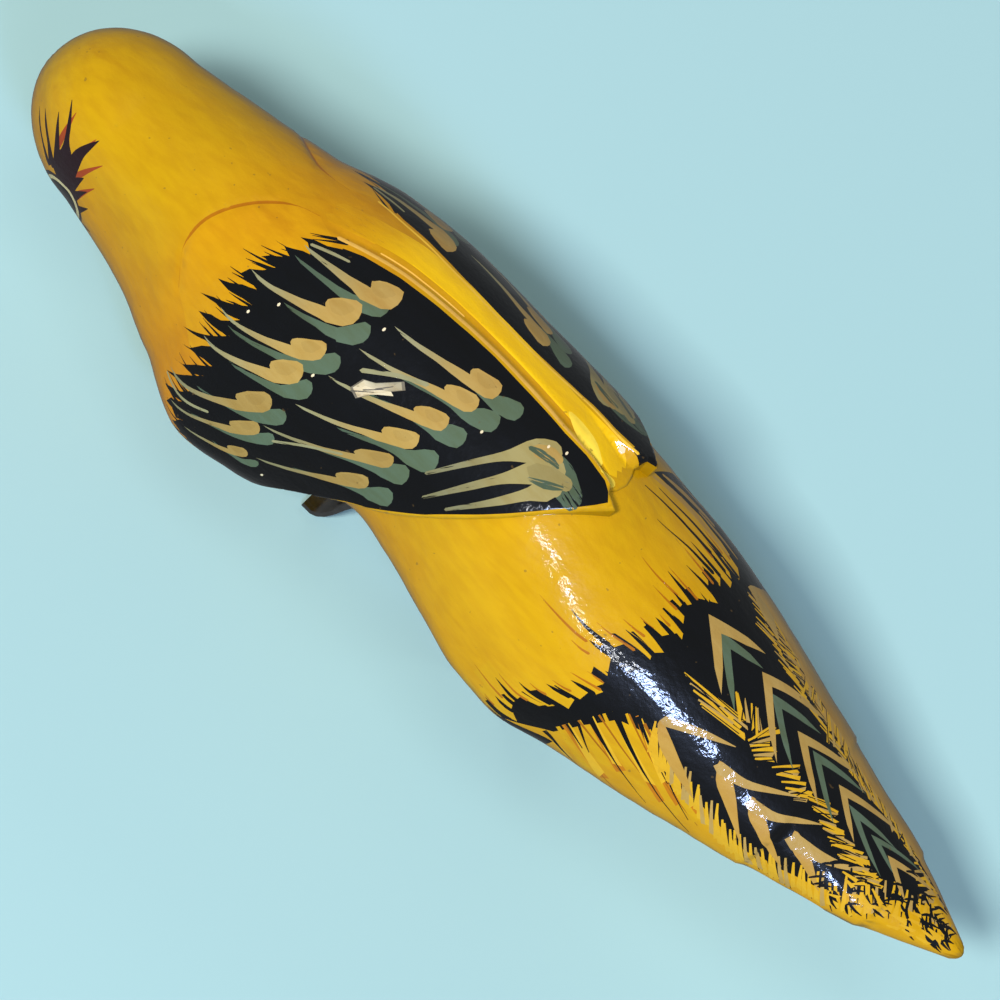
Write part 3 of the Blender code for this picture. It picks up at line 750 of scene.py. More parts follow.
# The broad strokes at the side of each row, and the thin ones that sweep back from them
FANGS = (
    ((86.6, 55, 0.6), (88.2, 60, 1.3), (90.0, 64, 1.2), (92.3, 69, 0.8), (94.2, 74, 0.1)),
    ((93.6, 51, 0.5), (94.9, 56, 1.5), (96.6, 62, 1.3), (98.6, 70, 0.7), (100.7, 79, 0.1)),
    ((98.4, 55, 0.5), (99.6, 60, 1.4), (101.2, 65, 1.2), (103.4, 73, 0.7), (105.3, 79, 0.1)),
    ((103.9, 55, 0.5), (105.0, 60, 1.4), (106.5, 65, 1.1), (108.2, 72, 0.6), (109.7, 79, 0.1)),
)
SWEEPS = (
    ((86.8, 53, 1.1), (90.3, 46, 0.8), (93.5, 40, 0.1)),
    ((93.9, 53, 1.3), (96.9, 51, 0.9), (99.3, 44, 0.55), (101.7, 35, 0.1)),
    ((98.8, 58, 1.4), (101.3, 55, 0.95), (103.1, 48, 0.65), (105.2, 38, 0.1)),
    ((104.4, 60, 1.8), (107.5, 57, 1.15), (109.9, 51, 0.6), (112.0, 40, 0.1)),
)
# Groups of short yellow strokes: the line they start from, the line they end on, how many
STEPS_OF_YELLOW = (
    ([(84.5, 32), (88.8, 38)], [(91.3, 28), (92.8, 34)], 8),
    ([(89.4, 21), (92.6, 17)], [(92.4, 30), (94.4, 25)], 6),
    ([(93.6, 32), (96.0, 38)], [(94.9, 17), (97.4, 29)], 7),
    ([(97.6, 34), (101.4, 39)], [(99.8, 18), (102.8, 31)], 9),
    ([(102.2, 30), (107.4, 44)], [(104.6, 20), (110.0, 36)], 12),
    ([(107.0, 44), (112.0, 54)], [(109.4, 30), (114.4, 42)], 10),
)


def paint_rows(side):
    """The two rows of painted feathers beside the middle one."""
    for first, second, count in STEPS_OF_YELLOW:
        first, second = mirrored(first, side), mirrored(second, side)
        hatch(first, second, count, (0.16, 0.42), (FEATHER_YELLOW, FEATHER_YELLOW, TAN), (0.85, 0.95), 0.2)
        hatch(first, second, count // 2, (0.1, 0.14), (BLACK,), loose=0.3)
    for strokes, colour in ((FANGS, BAND * 0.95), (SWEEPS, TAN)):
        for points in strokes:
            hair(mirrored(points, side), colour, (0.9, 0.95))


# The band's darker outer part, and the line that its streaks follow
BAND_SIDE = ((120.0, -52), (113, -44), (106, -36), (100, -34), (94, -30), (89, -30))
BAND_LINE = [(84, -40), (120, -55)]


def paint_feathers():
    """The right edge's band, the rows of feathers and the crossed strokes at the tail's tip."""
    # The band down the right edge, with black between its strokes
    lay([*BAND_INNER, *BAND_OUTER], BAND, "block", (0.97, 0.97), BAND_LINE)
    for s in np.arange(85.5, 120.5, 0.58):
        a = float(np.interp(s, *BAND_INNER.T))
        size = width_of(s, a)
        shrink = min(1, (127 - s) / 22)
        yellow = TAN if rng.random() < 0.4 else FEATHER_YELLOW
        for colour, *reach, wide, narrow in ((yellow, 3.0, 1.6, 0.12, 0.46), (BLACK, 0.6, 3.6, 0.4, 0.06)):
            back, ahead = (far * rng.uniform(low, 1.2) * shrink for far, low in zip(reach, (0.4, 0.5)))
            drift = math.degrees(0.33 / size)
            shift = rng.uniform(-0.3, 0.3)
            start, end = (s - back + shift, a + back * drift), (s + ahead + shift, a - ahead * drift)
            bar(start, end, wide, narrow, colour, (1, 0.95))
    # Along the edge itself the strokes are longer
    for s in np.arange(88.0, 116.0, 1.3):
        a = float(np.interp(s, *BAND_INNER.T)) - math.degrees(1.9 / width_of(s, -30))
        bar((s - 1.5, a + 3), (s + 2.0, a - 6), 0.22, 0.05, BLACK * 1.5)
        bar((s - 0.9, a - 2), (s + 3.0, a - 10), 0.2, 0.5, FEATHER_YELLOW * 1.05)
    paint_rows(1)
    paint_rows(-1)
    lay([*BAND_OUTER[::-1], *BAND_SIDE], BAND * 0.9, "block", (0.9, 0.9), BAND_LINE)
    for row, colour in ((MIDDLE_GREEN, GREEN), (MIDDLE_ROW, TAN)):
        for feather in row:
            vee(*feather, colour)
    # The first tan feather at the right edge
    hair([(84.0, -27, 1.0), (84.9, -30, 2.3), (86.9, -27, 2.2), (89.3, -23, 0.4)], TAN)
    hair([(84.6, -32, 0.9), (85.6, -36, 2.0), (88.1, -36, 2.4), (91.7, -37, 2.0), (95.0, -27, 0.4)], BAND)
    # Crossed black strokes near the tip
    for low, high, turn_low, turn_high, count in ((107.5, 115.0, 46, 78, 34), (114.5, 122.4, -20, 60, 46)):
        for _ in range(count):
            s, a = rng.uniform(low, high), rng.uniform(turn_low, turn_high)
            long = rng.uniform(0.8, 2.0)
            turn = math.degrees(long * rng.choice((-0.75, 0.75, 0.3)) / max(width_of(s, a), 1.2))
            hair([(s, a, 0.2), (s + long * 0.5, a + turn * 0.7, 0.3), (s + long, a + turn, 0.1)])
    for _ in range(26):
        s, a = rng.uniform(110, 121), rng.uniform(38, 78)
        end = (s + rng.uniform(0.8, 1.8), a + rng.uniform(-9, 9))
        bar((s, a), end, 0.15, 0.4, FEATHER_YELLOW, (0.9, 0.9))


for side in (1, -1):
    # Behind the shoulder's faint step the yellow is deeper
    arc, rear = mirrored(SHOULDER_ARC, side), mirrored([(31.0, 12), (31.0, 60), (28.0, 74)], side)
    lay(arc + rear, linear(206, 147, 2), dry=(0.85, 0.85), line=[arc[4], (31.0, 36 * side)])
    # A darker orange line along the faint step is painted shade
    step = [(s, a, 0.3 if 12 < abs(a) < 58 else 0.06) for s, a in arc]
    ribbon(step, ORANGE * 0.72, dry=(0.7, 0.62), round_end=False)
    paint_wing(side)
    paint_head(side)
paint_strip()
paint_collar()
paint_flank()
for side in (1, -1):
    paint_edge(side)
paint_feathers()
# A chip in the left wing's lacquer, down to the pale wood
CHIP = turned([
    (42.3, 43.5), (42.6, 39.5), (43.6, 38.8), (45.3, 34.2), (45.9, 36.2), (44.4, 41.2), (43.3, 45.8),
])
CHIP_DEPTH, CHIP_WALL, CHIP_MIDDLE = 0.3, 0.18, CHIP.mean(0)
# The grey ring round the chip, the chip darkening from one end to the other and its darker border round a
# paler middle are painted shade of the sunken edge
lay(CHIP_MIDDLE + (CHIP - CHIP_MIDDLE) * 1.12, linear(120, 112, 96), "wing")
lay(CHIP, [CREAM * 0.8, CREAM * 0.5], "wing", (0.9, 0.7))
lay(CHIP_MIDDLE + (CHIP - CHIP_MIDDLE) * (0.8, 0.45) + (0.2, 1.2), CREAM * 0.85, "wing")
for shift in (-0.6, 0.2, 1.0):
    scratch = [(43.0 + shift, 42.5 - 3 * shift, 0.16), (44.4 + shift * 0.6, 39.0 - 3 * shift, 0.1)]
    ribbon(scratch, linear(96, 92, 84), "wing")
DROPS = [(40.5, 23), (59.8, 17), (61.5, 14), (31.5, 35), (29.8, 44), (38.7, 46), (41.7, 96), (54.2, 30)]
for s, a in turned(DROPS):
    lay([(s + 0.14 * math.cos(t), a + 0.7 * math.sin(t)) for t in np.linspace(0, 5.2, 6)], CREAM, "wing")


def bill_point(turn, share):
    """A point on the bill, as (station, level, across), from its root to its tip."""
    root, tip = np.array(BILL_ROOT), np.array(BILL_TIP)
    way = (tip - root) / np.linalg.norm(tip - root)
    up = np.array((-way[1], way[0]))
    size = np.maximum(1 - share, 0.0) ** 0.8 * 0.98 + 0.1 * math.sqrt(max(1 - max(share, 0) ** 8, 0))
    middle = root + (tip - root) * share + up * math.sin(turn) * BILL_DEPTH * size
    return np.array((middle[0], middle[1], math.cos(turn) * BILL_WIDTH * size))


def on_head(point):
    """Station, angle and radius round the block's middle of a point of the bill."""
    level = float(section(BLOCK, point[0])[1])
    return point[0], math.atan2(point[2], point[1] - level), math.hypot(point[2], point[1] - level)


BILL_SIDES, BILL_RINGS = 28, 12


def bill_foot():
    """Where each line of the bill leaves the head."""
    feet = []
    for k in range(BILL_SIDES):
        turn = -math.pi / 2 + 2 * math.pi * k / BILL_SIDES
        for share in np.linspace(-0.6, 0.8, 281):
            s, a, reach = on_head(bill_point(turn, share))
            head = float(block_radius(np.array([s]), np.array([a]))[0])
            if s > HEAD_FRONT and reach > head and abs(a) > 1.2:
                break
        if k in (0, BILL_SIDES // 2):
            a = math.pi
        feet.append((turn, share, s, a))
    return feet


def seat_line(out):
    """Half of the seat's outline, on the left of the seam."""
    stations = np.arange(SEAT_FROM, SEAT_TO, 1.0)
    angle = np.full(len(stations), np.pi * 0.95)
    for _ in range(12):
        angle = np.pi - np.arcsin(np.clip((SEAT_HALF + out) / block_radius(stations, angle), 0, 0.9))
    stations = stations + np.where(stations == stations[0], -out, 0)
    line = [(s, math.degrees(a)) for s, a in zip(stations, angle)]
    return [(stations[0], 180.0)] + line + [(stations[-1] + out, 180.0)]


# The flat pattern: points in the wing's closing line, the longest side of a stroke in mm, the
# rows beside the wing's edge and beside the strip of back, and the two lines round the seat
CLOSING_POINTS, LONGEST, ROW_STEP = 70, 0.8, 0.75
EDGE_ROWS = (0.06, 0.16, 0.3, 0.45)
STRIP_ROWS = (-0.15, 0.05, 0.25, 0.45, 0.65, 0.85, 1.05, 1.25, 1.45, 1.65)
SEAT_LINES = (0.0, 0.04)
CAP_SHARE, LAST_ROW = 0.9997, 124.99


def divided(outline):
    """A closed outline with points added until no side is long."""
    ring = []
    for p, q in zip(outline, np.roll(outline, -1, axis=0)):
        parts = int(np.linalg.norm(q - p) // LONGEST) + 1
        ring.extend(p + (q - p) * k / parts for k in range(parts))
    return np.array(ring)


def pattern():
    """Every point and line that the flat pattern has to keep."""
    points, lines = [], []

    def add_line(line, closed=False):
        start = len(points)
        points.extend(map(tuple, line))
        ids = list(range(start, len(points)))
        lines.extend(zip(ids[:-1], ids[1:]))
        if closed:
            lines.append((ids[-1], ids[0]))
        return ids

    def row(drawn):
        station, _ = from_flat(np.array([[drawn, 0.0]]))
        around = polar(BLOCK, station, np.array([np.pi / 2]))[0]
        count = max(int(2 * np.pi * around / ROW_STEP) // 2 * 2, 8)
        return [(drawn, u) for u in np.linspace(-SEAM, SEAM, count + 1)]

    first, last = CROWN - (CROWN - HEAD_FRONT) * math.asin(CAP_SHARE), LAST_ROW
    rows = list(np.arange(first, 124.0, ROW_STEP)[1:]) + [124.2, 124.5, 124.75, 124.9]
    for i, drawn in enumerate(rows):
        new = row(drawn)
        if i % 2:
            half = (new[1][1] - new[0][1]) / 2
            new = [new[0]] + [(drawn, u + half) for _, u in new[:-1]] + [new[-1]]
        points.extend(new)
    for drawn in (first, last):
        add_line(row(drawn))
    for u in (-SEAM, SEAM):
        add_line([(v, u) for v in sorted([first] + rows + [last])])
    across = abs(OUTLINE[0, 1])
    closing = np.array([(SHOULDER, a) for a in np.linspace(-across, across, CLOSING_POINTS)[1:-1]])
    add_line(to_flat(np.vstack((OUTLINE, closing))), closed=True)
    # Rows close to the wing's edge and beside the strip of back, for their rounding
    size = radius_at(OUTLINE, "wing")
    drawn = np.stack((OUTLINE[:, 0], np.radians(OUTLINE[:, 1]) * size), -1)
    _, outwards = ways(drawn)
    for off in EDGE_ROWS:
        shifted = wrapped(drawn - outwards * off, size)[2:-2]
        points.extend(map(tuple, to_flat(shifted[inside(shifted, OUTLINE)])))
    stations = np.arange(28.0, 66.6, 0.6)
    for off in STRIP_ROWS:
        for side in (1, -1):
            beside = (dorsal_angle(stations) - math.degrees(off / STRIP_RADIUS)) * side
            points.extend(map(tuple, to_flat(np.stack((stations, beside), -1))))
    for out in SEAT_LINES:
        for side in (1, -1):
            add_line(to_flat(mirrored(seat_line(out), side)))
    feet = bill_foot()
    foot = [(s, math.degrees(a)) for _, _, s, a in feet[:BILL_SIDES // 2 + 1]]
    loops = [add_line(to_flat(mirrored(foot, side))) for side in (1, -1)]
    for outline, *_ in layers:
        clipped = np.clip(outline, (first + 0.02, -SEAM), (last - 0.02, SEAM))
        add_line(divided(clipped), closed=True)
    # Nothing may lie outside the pattern's own edge
    return np.clip(points, (first, -SEAM), (last, SEAM)), lines, loops, feet


def base_colour(station, angle):
    """The yellow under the strokes: warmer at the shoulders and the throat, deeper on the rump, and turning
    orange down the sides towards the belly as painted shade.
    """
    turn = np.abs(np.degrees(angle))
    # The shoulders' warm tint is the paint's own; its growth down their sides is painted shade
    warm = ease(14, 30, station) * (1 - ease(34, 46, station)) * (0.6 + 0.4 * ease(25, 80, turn))
    base = YELLOW + (ORANGE - YELLOW) * (0.12 + 0.6 * warm)[:, None]
    base = base + (RUMP - base) * ease(44, 60, station)[:, None]
    # Down the sides towards the belly the yellow turns orange: painted shade
    return base + (ORANGE - base) * (ease(60, 130, turn) * 0.5)[:, None]


def painted(base, drawn, tris, middle, on_mantle):
    """The topmost stroke that holds each face's middle: its colour, the one below, the brush."""
    over, under = base[tris].copy(), base[tris].copy()
    brush = np.zeros((len(tris), 3, 3))
    brush[..., 2] = 1
    for outline, colour, zone, dry, line in layers:
        held = inside(middle, outline)
        if zone != "any":
            held &= on_mantle if zone == "wing" else ~on_mantle
        held = np.where(held)[0]
        if not len(held):
            continue
        way = line[1] - line[0]
        length = max(float(np.linalg.norm(way)), 1e-6)
        way = way / length
        offset = drawn[tris[held]] - line[0]
        along, across = offset @ way, offset @ np.array((-way[1], way[0]))
        under[held] = over[held].mean(1, keepdims=True)
        share = np.clip(along / length, 0, 1)
        over[held] = colour[0] + (colour[-1] - colour[0]) * ease(0.1, 0.8, share)[..., None]
        # Each stroke's streaks start at a place of their own
        streak = along + line[0, 0] * 3.1, across + line[0, 1] * 1.7
        brush[held] = np.stack((*streak, dry[0] + (dry[1] - dry[0]) * share), -1)
    return over, under, brush


WALL_LEAST = 0.03
# The wall under the wing's edge is coloured a darkened rump yellow: painted shade
WALL_SHADE_COLOUR, BILL_COLOUR, BILL_LINE = RUMP * 0.6, BLACK * 1.6, PALE * 0.5


def bird_mesh():
    """The carving: the flat pattern laid on the body and on the wings, with walls and the bill."""
    flat, lines, loops, feet = pattern()
    found = delaunay_2d_cdt([Vector(p) for p in flat], lines, [], 0, 1e-4)
    drawn = np.array([tuple(p) for p in found[0]])
    tris = np.array(found[2])
    came_from = {old: new for new, olds in enumerate(found[3]) for old in olds}
    left_ids, right_ids = ([came_from[i] for i in loop] for loop in loops)
    middle = drawn[tris].mean(1)
    hole = inside(middle, drawn[left_ids]) | inside(middle, drawn[right_ids])
    tris, middle = tris[~hole], middle[~hole]
    a, b, c = (drawn[tris[:, i]] for i in range(3))
    area = (b[:, 0] - a[:, 0]) * (c[:, 1] - a[:, 1]) - (b[:, 1] - a[:, 1]) * (c[:, 0] - a[:, 0])
    tris[area > 0] = tris[area > 0][:, ::-1]
    # The pattern's two long edges meet under the belly
    on_left, on_right = (np.where(np.abs(drawn[:, 1] - u) < 1e-5)[0] for u in (SEAM, -SEAM))
    same = {round(float(drawn[i, 0]), 3): i for i in on_left}
    joined = np.arange(len(drawn))
    for i in on_right:
        joined[i] = same.get(round(float(drawn[i, 0]), 3), i)
    on_mantle = holds(OUTLINE, *from_flat(middle))
    station, angle = from_flat(drawn)
    raised, ground = np.zeros((2, len(drawn)), bool)
    raised[tris[on_mantle].ravel()] = True
    ground[tris[~on_mantle].ravel()] = True
    low = block_radius(station, angle)
    high = low.copy()
    high[raised] = mantle_radius(station[raised], angle[raised])
    edge = raised & ground & (high - low > WALL_LEAST)
    level = raised & ground & ~edge
    high[level] = low[level]
    low_points, high_points = place(station, angle, low), place(station, angle, high)
    seat = (np.abs(low_points[:, 1]) <= (SEAT_HALF + 0.01) * MM) & (station >= SEAT_FROM - 0.01)
    seat_height = (AXIS_HEIGHT + SEAT_LEVEL) * MM
    sunk = seat & (np.cos(angle) < 0) & (station <= SEAT_TO) & (low_points[:, 2] < seat_height)
    low_points[sunk, 2] = seat_height
    low_normals = normals_of(block_radius, station, angle)
    low_normals[sunk] = (0, 0, -1)
    high_normals = low_normals.copy()
    high_normals[raised] = normals_of(mantle_radius, station[raised], angle[raised])
    high_normals[level] = low_normals[level]

    count = len(drawn)
    upper = np.arange(count)
    upper[edge] = count + np.arange(edge.sum())
    places = np.vstack((low_points, high_points[edge]))
    places[:count][raised & ~ground] = high_points[raised & ~ground]
    places = list(places)
    over, under, brush = painted(base_colour(station, angle), drawn, tris, middle, on_mantle)
    tops, bottoms, strokes = list(over), list(under), list(brush)
    faces, normals = [], []
    for ids, on_top in zip(tris, on_mantle):
        if on_top:
            faces.append(tuple(joined[j] if upper[j] == j else upper[j] for j in ids))
        else:
            faces.append(tuple(joined[ids]))
        normals.append((high_normals if on_top else low_normals)[ids])

    def put(face, colour, within=None, third=2):
        """A flat face, turned away from a point within."""
        normal = np.cross(places[face[1]] - places[face[0]], places[face[third]] - places[face[0]])
        if within is not None and normal @ (np.mean([places[j] for j in face], axis=0) - within) < 0:
            face, normal = face[::-1], -normal
        faces.append(tuple(face))
        values = (normal / max(np.linalg.norm(normal), 1e-15), colour, colour * 0.8, (0.0, 0.0, 1.0))
        for kept, value in zip((normals, tops, bottoms, strokes), values):
            kept.append(np.tile(value, (len(face), 1)))

    # The wall under the wing's edge, painted a darkened rump yellow as shade
    owned = {(tri[k], tri[(k + 1) % 3]) for tri in tris[on_mantle] for k in range(3)}
    for tri in tris[~on_mantle]:
        for k in range(3):
            p, q = tri[k], tri[(k + 1) % 3]
            if (q, p) in owned and (edge[p] or edge[q]):
                put([int(j) for j in [q, p] + [upper[j] for j in (p, q) if edge[j]]], WALL_SHADE_COLOUR)

    # The bill, from its foot on the head to its tip
    rings = [[int(joined[i]) for i in left_ids + right_ids[1:-1][::-1]]]
    for step in range(1, BILL_RINGS + 1):
        rings.append(list(range(len(places), len(places) + BILL_SIDES)))
        for turn, start, _, _ in feet:
            s, level, across = bill_point(turn, start + (1 - start) * (step / BILL_RINGS))
            places.append(np.array((MIDDLE - s, across, AXIS_HEIGHT + level)) * MM)
    inner = np.mean([places[i] for i in rings[0]], axis=0)
    tip = len(places)
    places.append(np.mean([places[i] for i in rings[-1]], axis=0))
    quarter = BILL_SIDES // 4
    lined = (quarter, quarter - 1, 3 * quarter, 3 * quarter - 1)
    for low_ring, high_ring in zip(rings[:-1], rings[1:]):
        for k in range(BILL_SIDES):
            j = (k + 1) % BILL_SIDES
            face = (low_ring[k], low_ring[j], high_ring[j], high_ring[k])
            put(face, BILL_LINE if k in lined else BILL_COLOUR, inner, 3)
    for k in range(BILL_SIDES):
        put((rings[-1][k], rings[-1][(k + 1) % BILL_SIDES], tip), BILL_COLOUR, inner)
    # The two ends of the block are closed by fans
    for end, colour, inwards in ((drawn[:, 0].min(), YELLOW, -1.0), (drawn[:, 0].max(), RUMP, 1.0)):
        ids = np.where(np.abs(drawn[:, 0] - end) < 1e-6)[0]
        ids = ids[np.argsort(drawn[ids, 1])]
        hub = len(places)
        places.append(np.mean([places[i] for i in ids], axis=0))
        for p, q in zip(ids[:-1], ids[1:]):
            put([int(joined[p]), int(joined[q]), hub], colour, places[hub] + np.array((inwards, 0, 0)) * MM)

    mesh = bpy.data.meshes.new("painted_bird")
    mesh.from_pydata([tuple(p) for p in places], [], faces)
    for name, values in (("over", tops), ("under", bottoms)):
        values = np.vstack(values)
        data = np.hstack((values, np.ones((len(values), 1)))).astype(np.float32)
        mesh.color_attributes.new(name, "FLOAT_COLOR", "CORNER").data.foreach_set("color", data.ravel())
    attribute = mesh.attributes.new("brush", "FLOAT_VECTOR", "CORNER")
    attribute.data.foreach_set("vector", np.vstack(strokes).astype(np.float32).ravel())
    mesh.polygons.foreach_set("use_smooth", np.ones(len(mesh.polygons), bool))
    mesh.normals_split_custom_set([tuple(v) for v in np.vstack(normals)])
    return mesh


class Nodes:
    """Short words for a material's nodes."""

    def __init__(self, name):
        self.material = bpy.data.materials.new(name)
        self.material.use_nodes = True
        self.tree = self.material.node_tree
        self.shader = self.tree.nodes["Principled BSDF"]

    def set(self, **inputs):
        """The shader's own sockets."""
        for key, value in inputs.items():
            self.put(value, self.shader.inputs[key.replace("_", " ")])

    def put(self, value, socket):
        if hasattr(value, "is_output"):
            self.tree.links.new(value, socket)
        elif isinstance(value, (tuple, list, np.ndarray)) and socket.type == "RGBA":
            socket.default_value = (*value[:3], 1)
        else:
            socket.default_value = value

    def node(self, kind, output=0, **inputs):
        node = self.tree.nodes.new(kind)
        for key, value in inputs.items():
            if key.startswith("set_"):
                setattr(node, key[4:], value)
        for key, value in inputs.items():
            if not key.startswith("set_"):
                place_in = int(key[1:]) if key[1:].isdigit() else key.replace("_", " ")
                self.put(value, node.inputs[place_in])
        return node.outputs[output]

    def attribute(self, name, output="Color"):
        return self.node("ShaderNodeAttribute", output, set_attribute_name=name)

    def math(self, operation, a, b, c=0.0):
        return self.node("ShaderNodeMath", set_operation=operation, i0=a, i1=b, i2=c)

    def mix(self, factor, a, b, blend="MIX"):
        kind = {"set_data_type": "RGBA", "set_blend_type": blend}
        return self.node("ShaderNodeMix", 2, i0=factor, i6=a, i7=b, **kind)

    def spread(self, value, low, high, to_low=0.0, to_high=1.0):
        limits = {"From_Min": low, "From_Max": high, "To_Min": to_low, "To_Max": to_high}
        return self.node("ShaderNodeMapRange", set_interpolation_type="SMOOTHSTEP", Value=value, **limits)

    def noise(self, scale, detail=2.0, rough=0.5, vector=None, stretch=None):
        place_at = vector or self.node("ShaderNodeTexCoord", output=3)
        if stretch:
            place_at = self.node("ShaderNodeVectorMath", set_operation="MULTIPLY", i0=place_at, i1=stretch)
        return self.node("ShaderNodeTexNoise", Vector=place_at, Scale=scale, Detail=detail, Roughness=rough)

    def bump(self, height, strength, reach, **normal):
        return self.node("ShaderNodeBump", Strength=strength, Distance=reach, Height=height, **normal)


# The share of a stroke's streaks where it covers what is below
COVER_SPAN, COVER_LEAST, COVER_EDGE = 0.62, 0.14, 0.035


def lacquered_paint():
    """Brushed paint over what lies below it, under a clear coat with faint ridges."""
    m = Nodes("lacquered_paint")
    brush = m.attribute("brush", "Vector")
    cover = m.node("ShaderNodeSeparateXYZ", 2, i0=brush)
    streaks = m.noise(1.0, 3.0, 0.6, brush, (0.35, 5.5, 0.0))
    limit = m.math("MULTIPLY_ADD", m.math("SUBTRACT", 1.0, cover), COVER_SPAN, COVER_LEAST)
    from_limit, to_limit = m.math("SUBTRACT", limit, COVER_EDGE), m.math("ADD", limit, COVER_EDGE)
    wet = m.spread(streaks, from_limit, to_limit)
    colour = m.mix(wet, m.attribute("under"), m.attribute("over"))
    grain = m.noise(900, 3.0, 0.6, stretch=(0.22, 1.0, 1.0))
    cloud = m.noise(110, 4.0, 0.6)
    strokes = m.noise(330, 3.0, 0.65, stretch=(0.16, 1.0, 1.0))
    for where, low, high, most, tint in (
        (grain, 0.3, 0.7, 0.42, (0.80, 0.70, 0.45)), (cloud, 0.42, 0.72, 0.35, (1.16, 1.14, 1.25)),
        (strokes, 0.54, 0.72, 0.5, (0.84, 0.74, 0.6)),
    ):
        colour = m.mix(m.spread(where, low, high, 0.0, most), colour, m.mix(1.0, colour, tint, "MULTIPLY"))
    specks = m.noise(1500, 1.0, 0.4)
    colour = m.mix(m.spread(specks, 0.76, 0.80, 0.0, 0.45), colour, (0.12, 0.07, 0.02))
    wrinkle = m.noise(1900, 2.0, 0.55)
    swell = m.noise(420, 2.0, 0.5, stretch=(0.6, 1.0, 1.0))
    height = m.math("ADD", m.math("MULTIPLY", wrinkle, 0.35), swell)
    normal = m.bump(wet, 0.5, 0.00005, Normal=m.bump(height, 0.75, 0.00012))
    m.set(Base_Color=colour, Roughness=m.spread(cloud, 0.3, 0.7, 0.30, 0.42), Specular_IOR_Level=0.2)
    m.set(Coat_Weight=1.0, Coat_Roughness=0.07, Coat_IOR=1.5, Normal=normal, Coat_Normal=normal)
    return m.material


def brushed_steel(name, colour, way, rough):
    m = Nodes(name)
    lines = m.noise(2600, 3.0, 0.6, stretch=way)
    cloud = m.noise(260, 3.0, 0.5)
    tone = m.mix(m.spread(lines, 0.3, 0.7), tuple(0.8 * c for c in colour), colour)
    tone = m.mix(m.spread(cloud, 0.55, 0.8, 0.0, 0.35), tone, (0.20, 0.16, 0.13))
    m.set(Base_Color=tone, Metallic=1.0, Roughness=m.spread(lines, 0.3, 0.7, rough, rough + 0.14))
    m.set(Normal=m.bump(lines, 0.3, 0.00003))
    return m.material


def add(name, data):
    made = bpy.data.objects.new(name, data)
    bpy.context.scene.collection.objects.link(made)
    return made


def show(name, mesh, material, body):
    piece = add(name, mesh)
    mesh.materials.append(material)
    if body:
        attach(piece, body)
    return piece


bird = show("painted_bird", bird_mesh(), lacquered_paint(), "bird")
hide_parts("carved_bird")
STEEL = {
    "clip_base": ("pressed_base", "bird", "base_steel", (0.40, 0.39, 0.38), (0.04, 1.0, 1.0), 0.3),
    "clip_jaw": ("pressed_jaw", "jaw", "jaw_steel", (0.37, 0.36, 0.35), (0.04, 1.0, 0.3), 0.3),
    "clip_pin": ("hinge_pin", "bird", "pin_steel", (0.46, 0.45, 0.44), (1.0, 1.0, 1.0), 0.22),
    "clip_spring": ("coil_spring", None, "spring_steel", (0.36, 0.35, 0.34), (1.0, 1.0, 1.0), 0.22),
}
EDGE_ANGLE, EDGE_REACH, EDGE_PARTS, SMOOTH_ANGLE = 0.7, 0.00009, 2, math.radians(32)


def eased(node, name):
    """The solid's form with its sharp outer edges rounded inwards, as pressed steel has them."""
    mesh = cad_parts[node].data.copy()
    mesh.name = name
    model = bmesh.new()
    model.from_mesh(mesh)
    bmesh.ops.remove_doubles(model, verts=model.verts, dist=1e-7)
    bmesh.ops.dissolve_limit(model, angle_limit=0.01, verts=model.verts, edges=model.edges)
    sharp = [e for e in model.edges if len(e.link_faces) == 2 and e.calc_face_angle_signed() > EDGE_ANGLE]
    bmesh.ops.bevel(model, geom=sharp, offset=EDGE_REACH, offset_type="OFFSET", segments=EDGE_PARTS,
                    profile=0.6, affect="EDGES", clamp_overlap=True)
    for face in model.faces:
        face.smooth = True
    model.to_mesh(mesh)
    model.free()
    mesh.set_sharp_from_angle(angle=SMOOTH_ANGLE)
    mesh.materials.clear()
    return mesh


for node, (name, body, slot, colour, way, rough) in STEEL.items():
    steel = brushed_steel("brushed_" + slot, colour, way, rough)
    piece = show(name, eased(node, name), steel, body)
    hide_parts(node)
    if body is None:
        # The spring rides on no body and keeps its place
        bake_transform(piece)

# The surface it stands on, the light and the camera
floor_mesh = bpy.data.meshes.new("floor")
floor_mesh.from_pydata([(x, y, 0) for x, y in ((-3, -3), (3, -3), (3, 3), (-3, 3))], [], [(0, 1, 2, 3)])
floor = add("floor", floor_mesh)
paper = Nodes("pale_paper")
paper.set(Base_Color=linear(181, 221, 223), Roughness=0.9, Specular_IOR_Level=0.1)
floor_mesh.materials.append(paper.material)
floor.visible_glossy = False

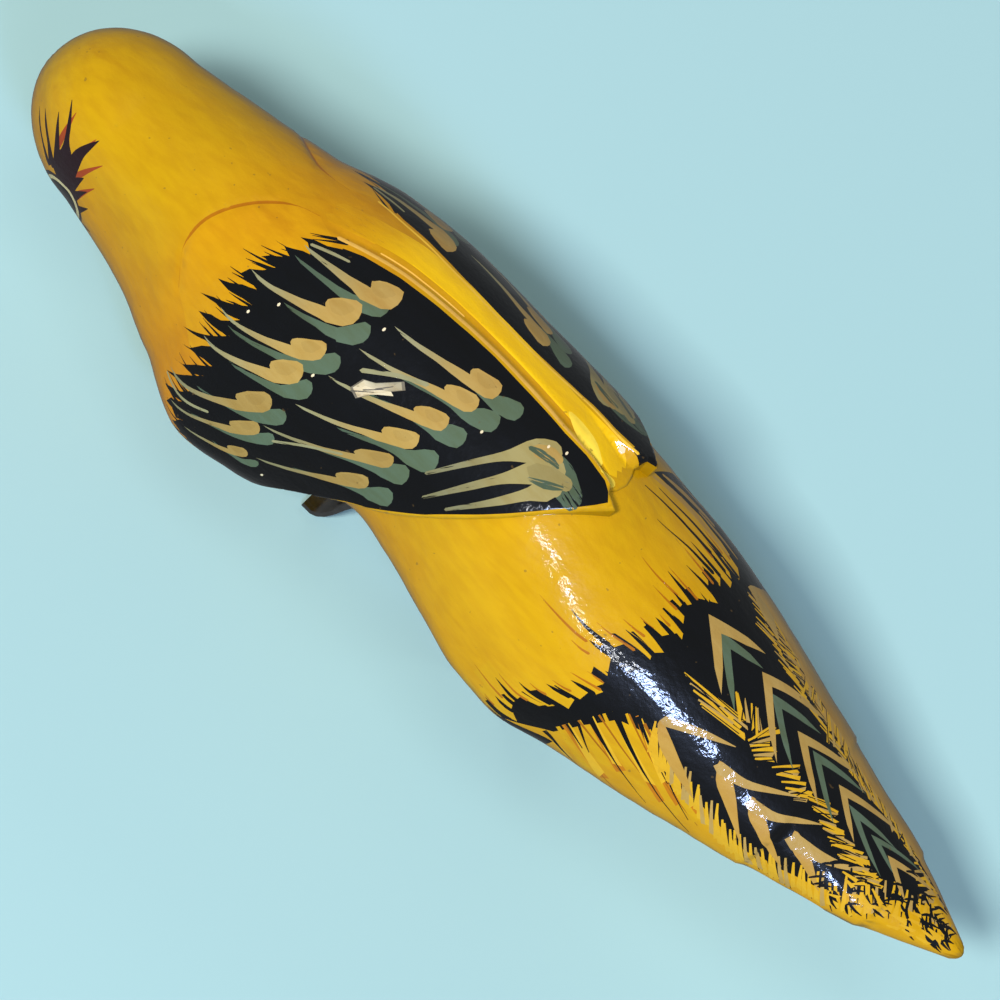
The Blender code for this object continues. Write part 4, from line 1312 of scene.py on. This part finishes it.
TILT = math.radians(40)
RIGHT_TURN, UP_TURN = 0.7091, 0.7051
CAMERA_DISTANCE = 0.5
away = Vector((0, -math.cos(TILT), math.sin(TILT)))
right = Vector((-RIGHT_TURN, 0, 0)) + UP_TURN * away
up = Vector((UP_TURN, 0, 0)) + RIGHT_TURN * away
back = right.cross(up).normalized()
eye = Vector((0.0009, 0, 0.0194)) - 0.00017 * away + CAMERA_DISTANCE * back
camera_data = bpy.data.cameras.new("camera")
camera_data.lens, camera_data.sensor_width = 180.0, 36.0
camera_data.clip_start = 0.05
camera = add("camera", camera_data)
camera.matrix_world = Matrix([(*axis, 0) for axis in (right, up, back)] + [(*eye, 1)]).transposed()
bpy.context.scene.camera = camera


def lamp(name, place_at, aim, size, power, colour, glossy=True):
    data = bpy.data.lights.new(name, "AREA")
    data.shape = "RECTANGLE"
    data.size, data.size_y = size
    data.energy, data.color = power, colour
    light = add(name, data)
    facing = (Vector(aim) - Vector(place_at)).to_track_quat("-Z", "Y").to_matrix().to_4x4()
    light.matrix_world = Matrix.Translation(place_at) @ facing
    light.visible_glossy = glossy


MIDDLE_AT, RUMP_AT = (0, 0, 0.02), (-0.02, 0.0, 0.03)
lamp("key", (0.34, 1.58, 1.42), MIDDLE_AT, (0.3, 0.3), 42.0, (1.0, 0.98, 0.95), False)
lamp("fill", (0.2, 0.5, 2.0), MIDDLE_AT, (1.2, 1.2), 5.0, (1.0, 0.99, 0.97), False)
lamp("bounce", (0.1, -1.4, 0.8), MIDDLE_AT, (1.0, 0.6), 3.0, (0.96, 0.98, 1.0), False)
# Two panes of a window, for the long broken highlight down the rump and the tail
lamp("window", (-0.61, 0.92, 0.83), RUMP_AT, (0.26, 0.12), 6.0, (0.46, 0.60, 1.0))
lamp("pane", (-0.38, 0.98, 0.89), RUMP_AT, (0.24, 0.03), 1.0, (0.95, 0.97, 1.0))

world = bpy.data.worlds.new("studio")
bpy.context.scene.world = world
world.use_nodes = True
sky = world.node_tree.nodes["Background"]
sky.inputs[0].default_value = (0.86, 0.93, 0.96, 1)
sky.inputs[1].default_value = 0.15
bpy.context.scene.view_settings.view_transform = "Standard"

bpy.context.view_layer.update()
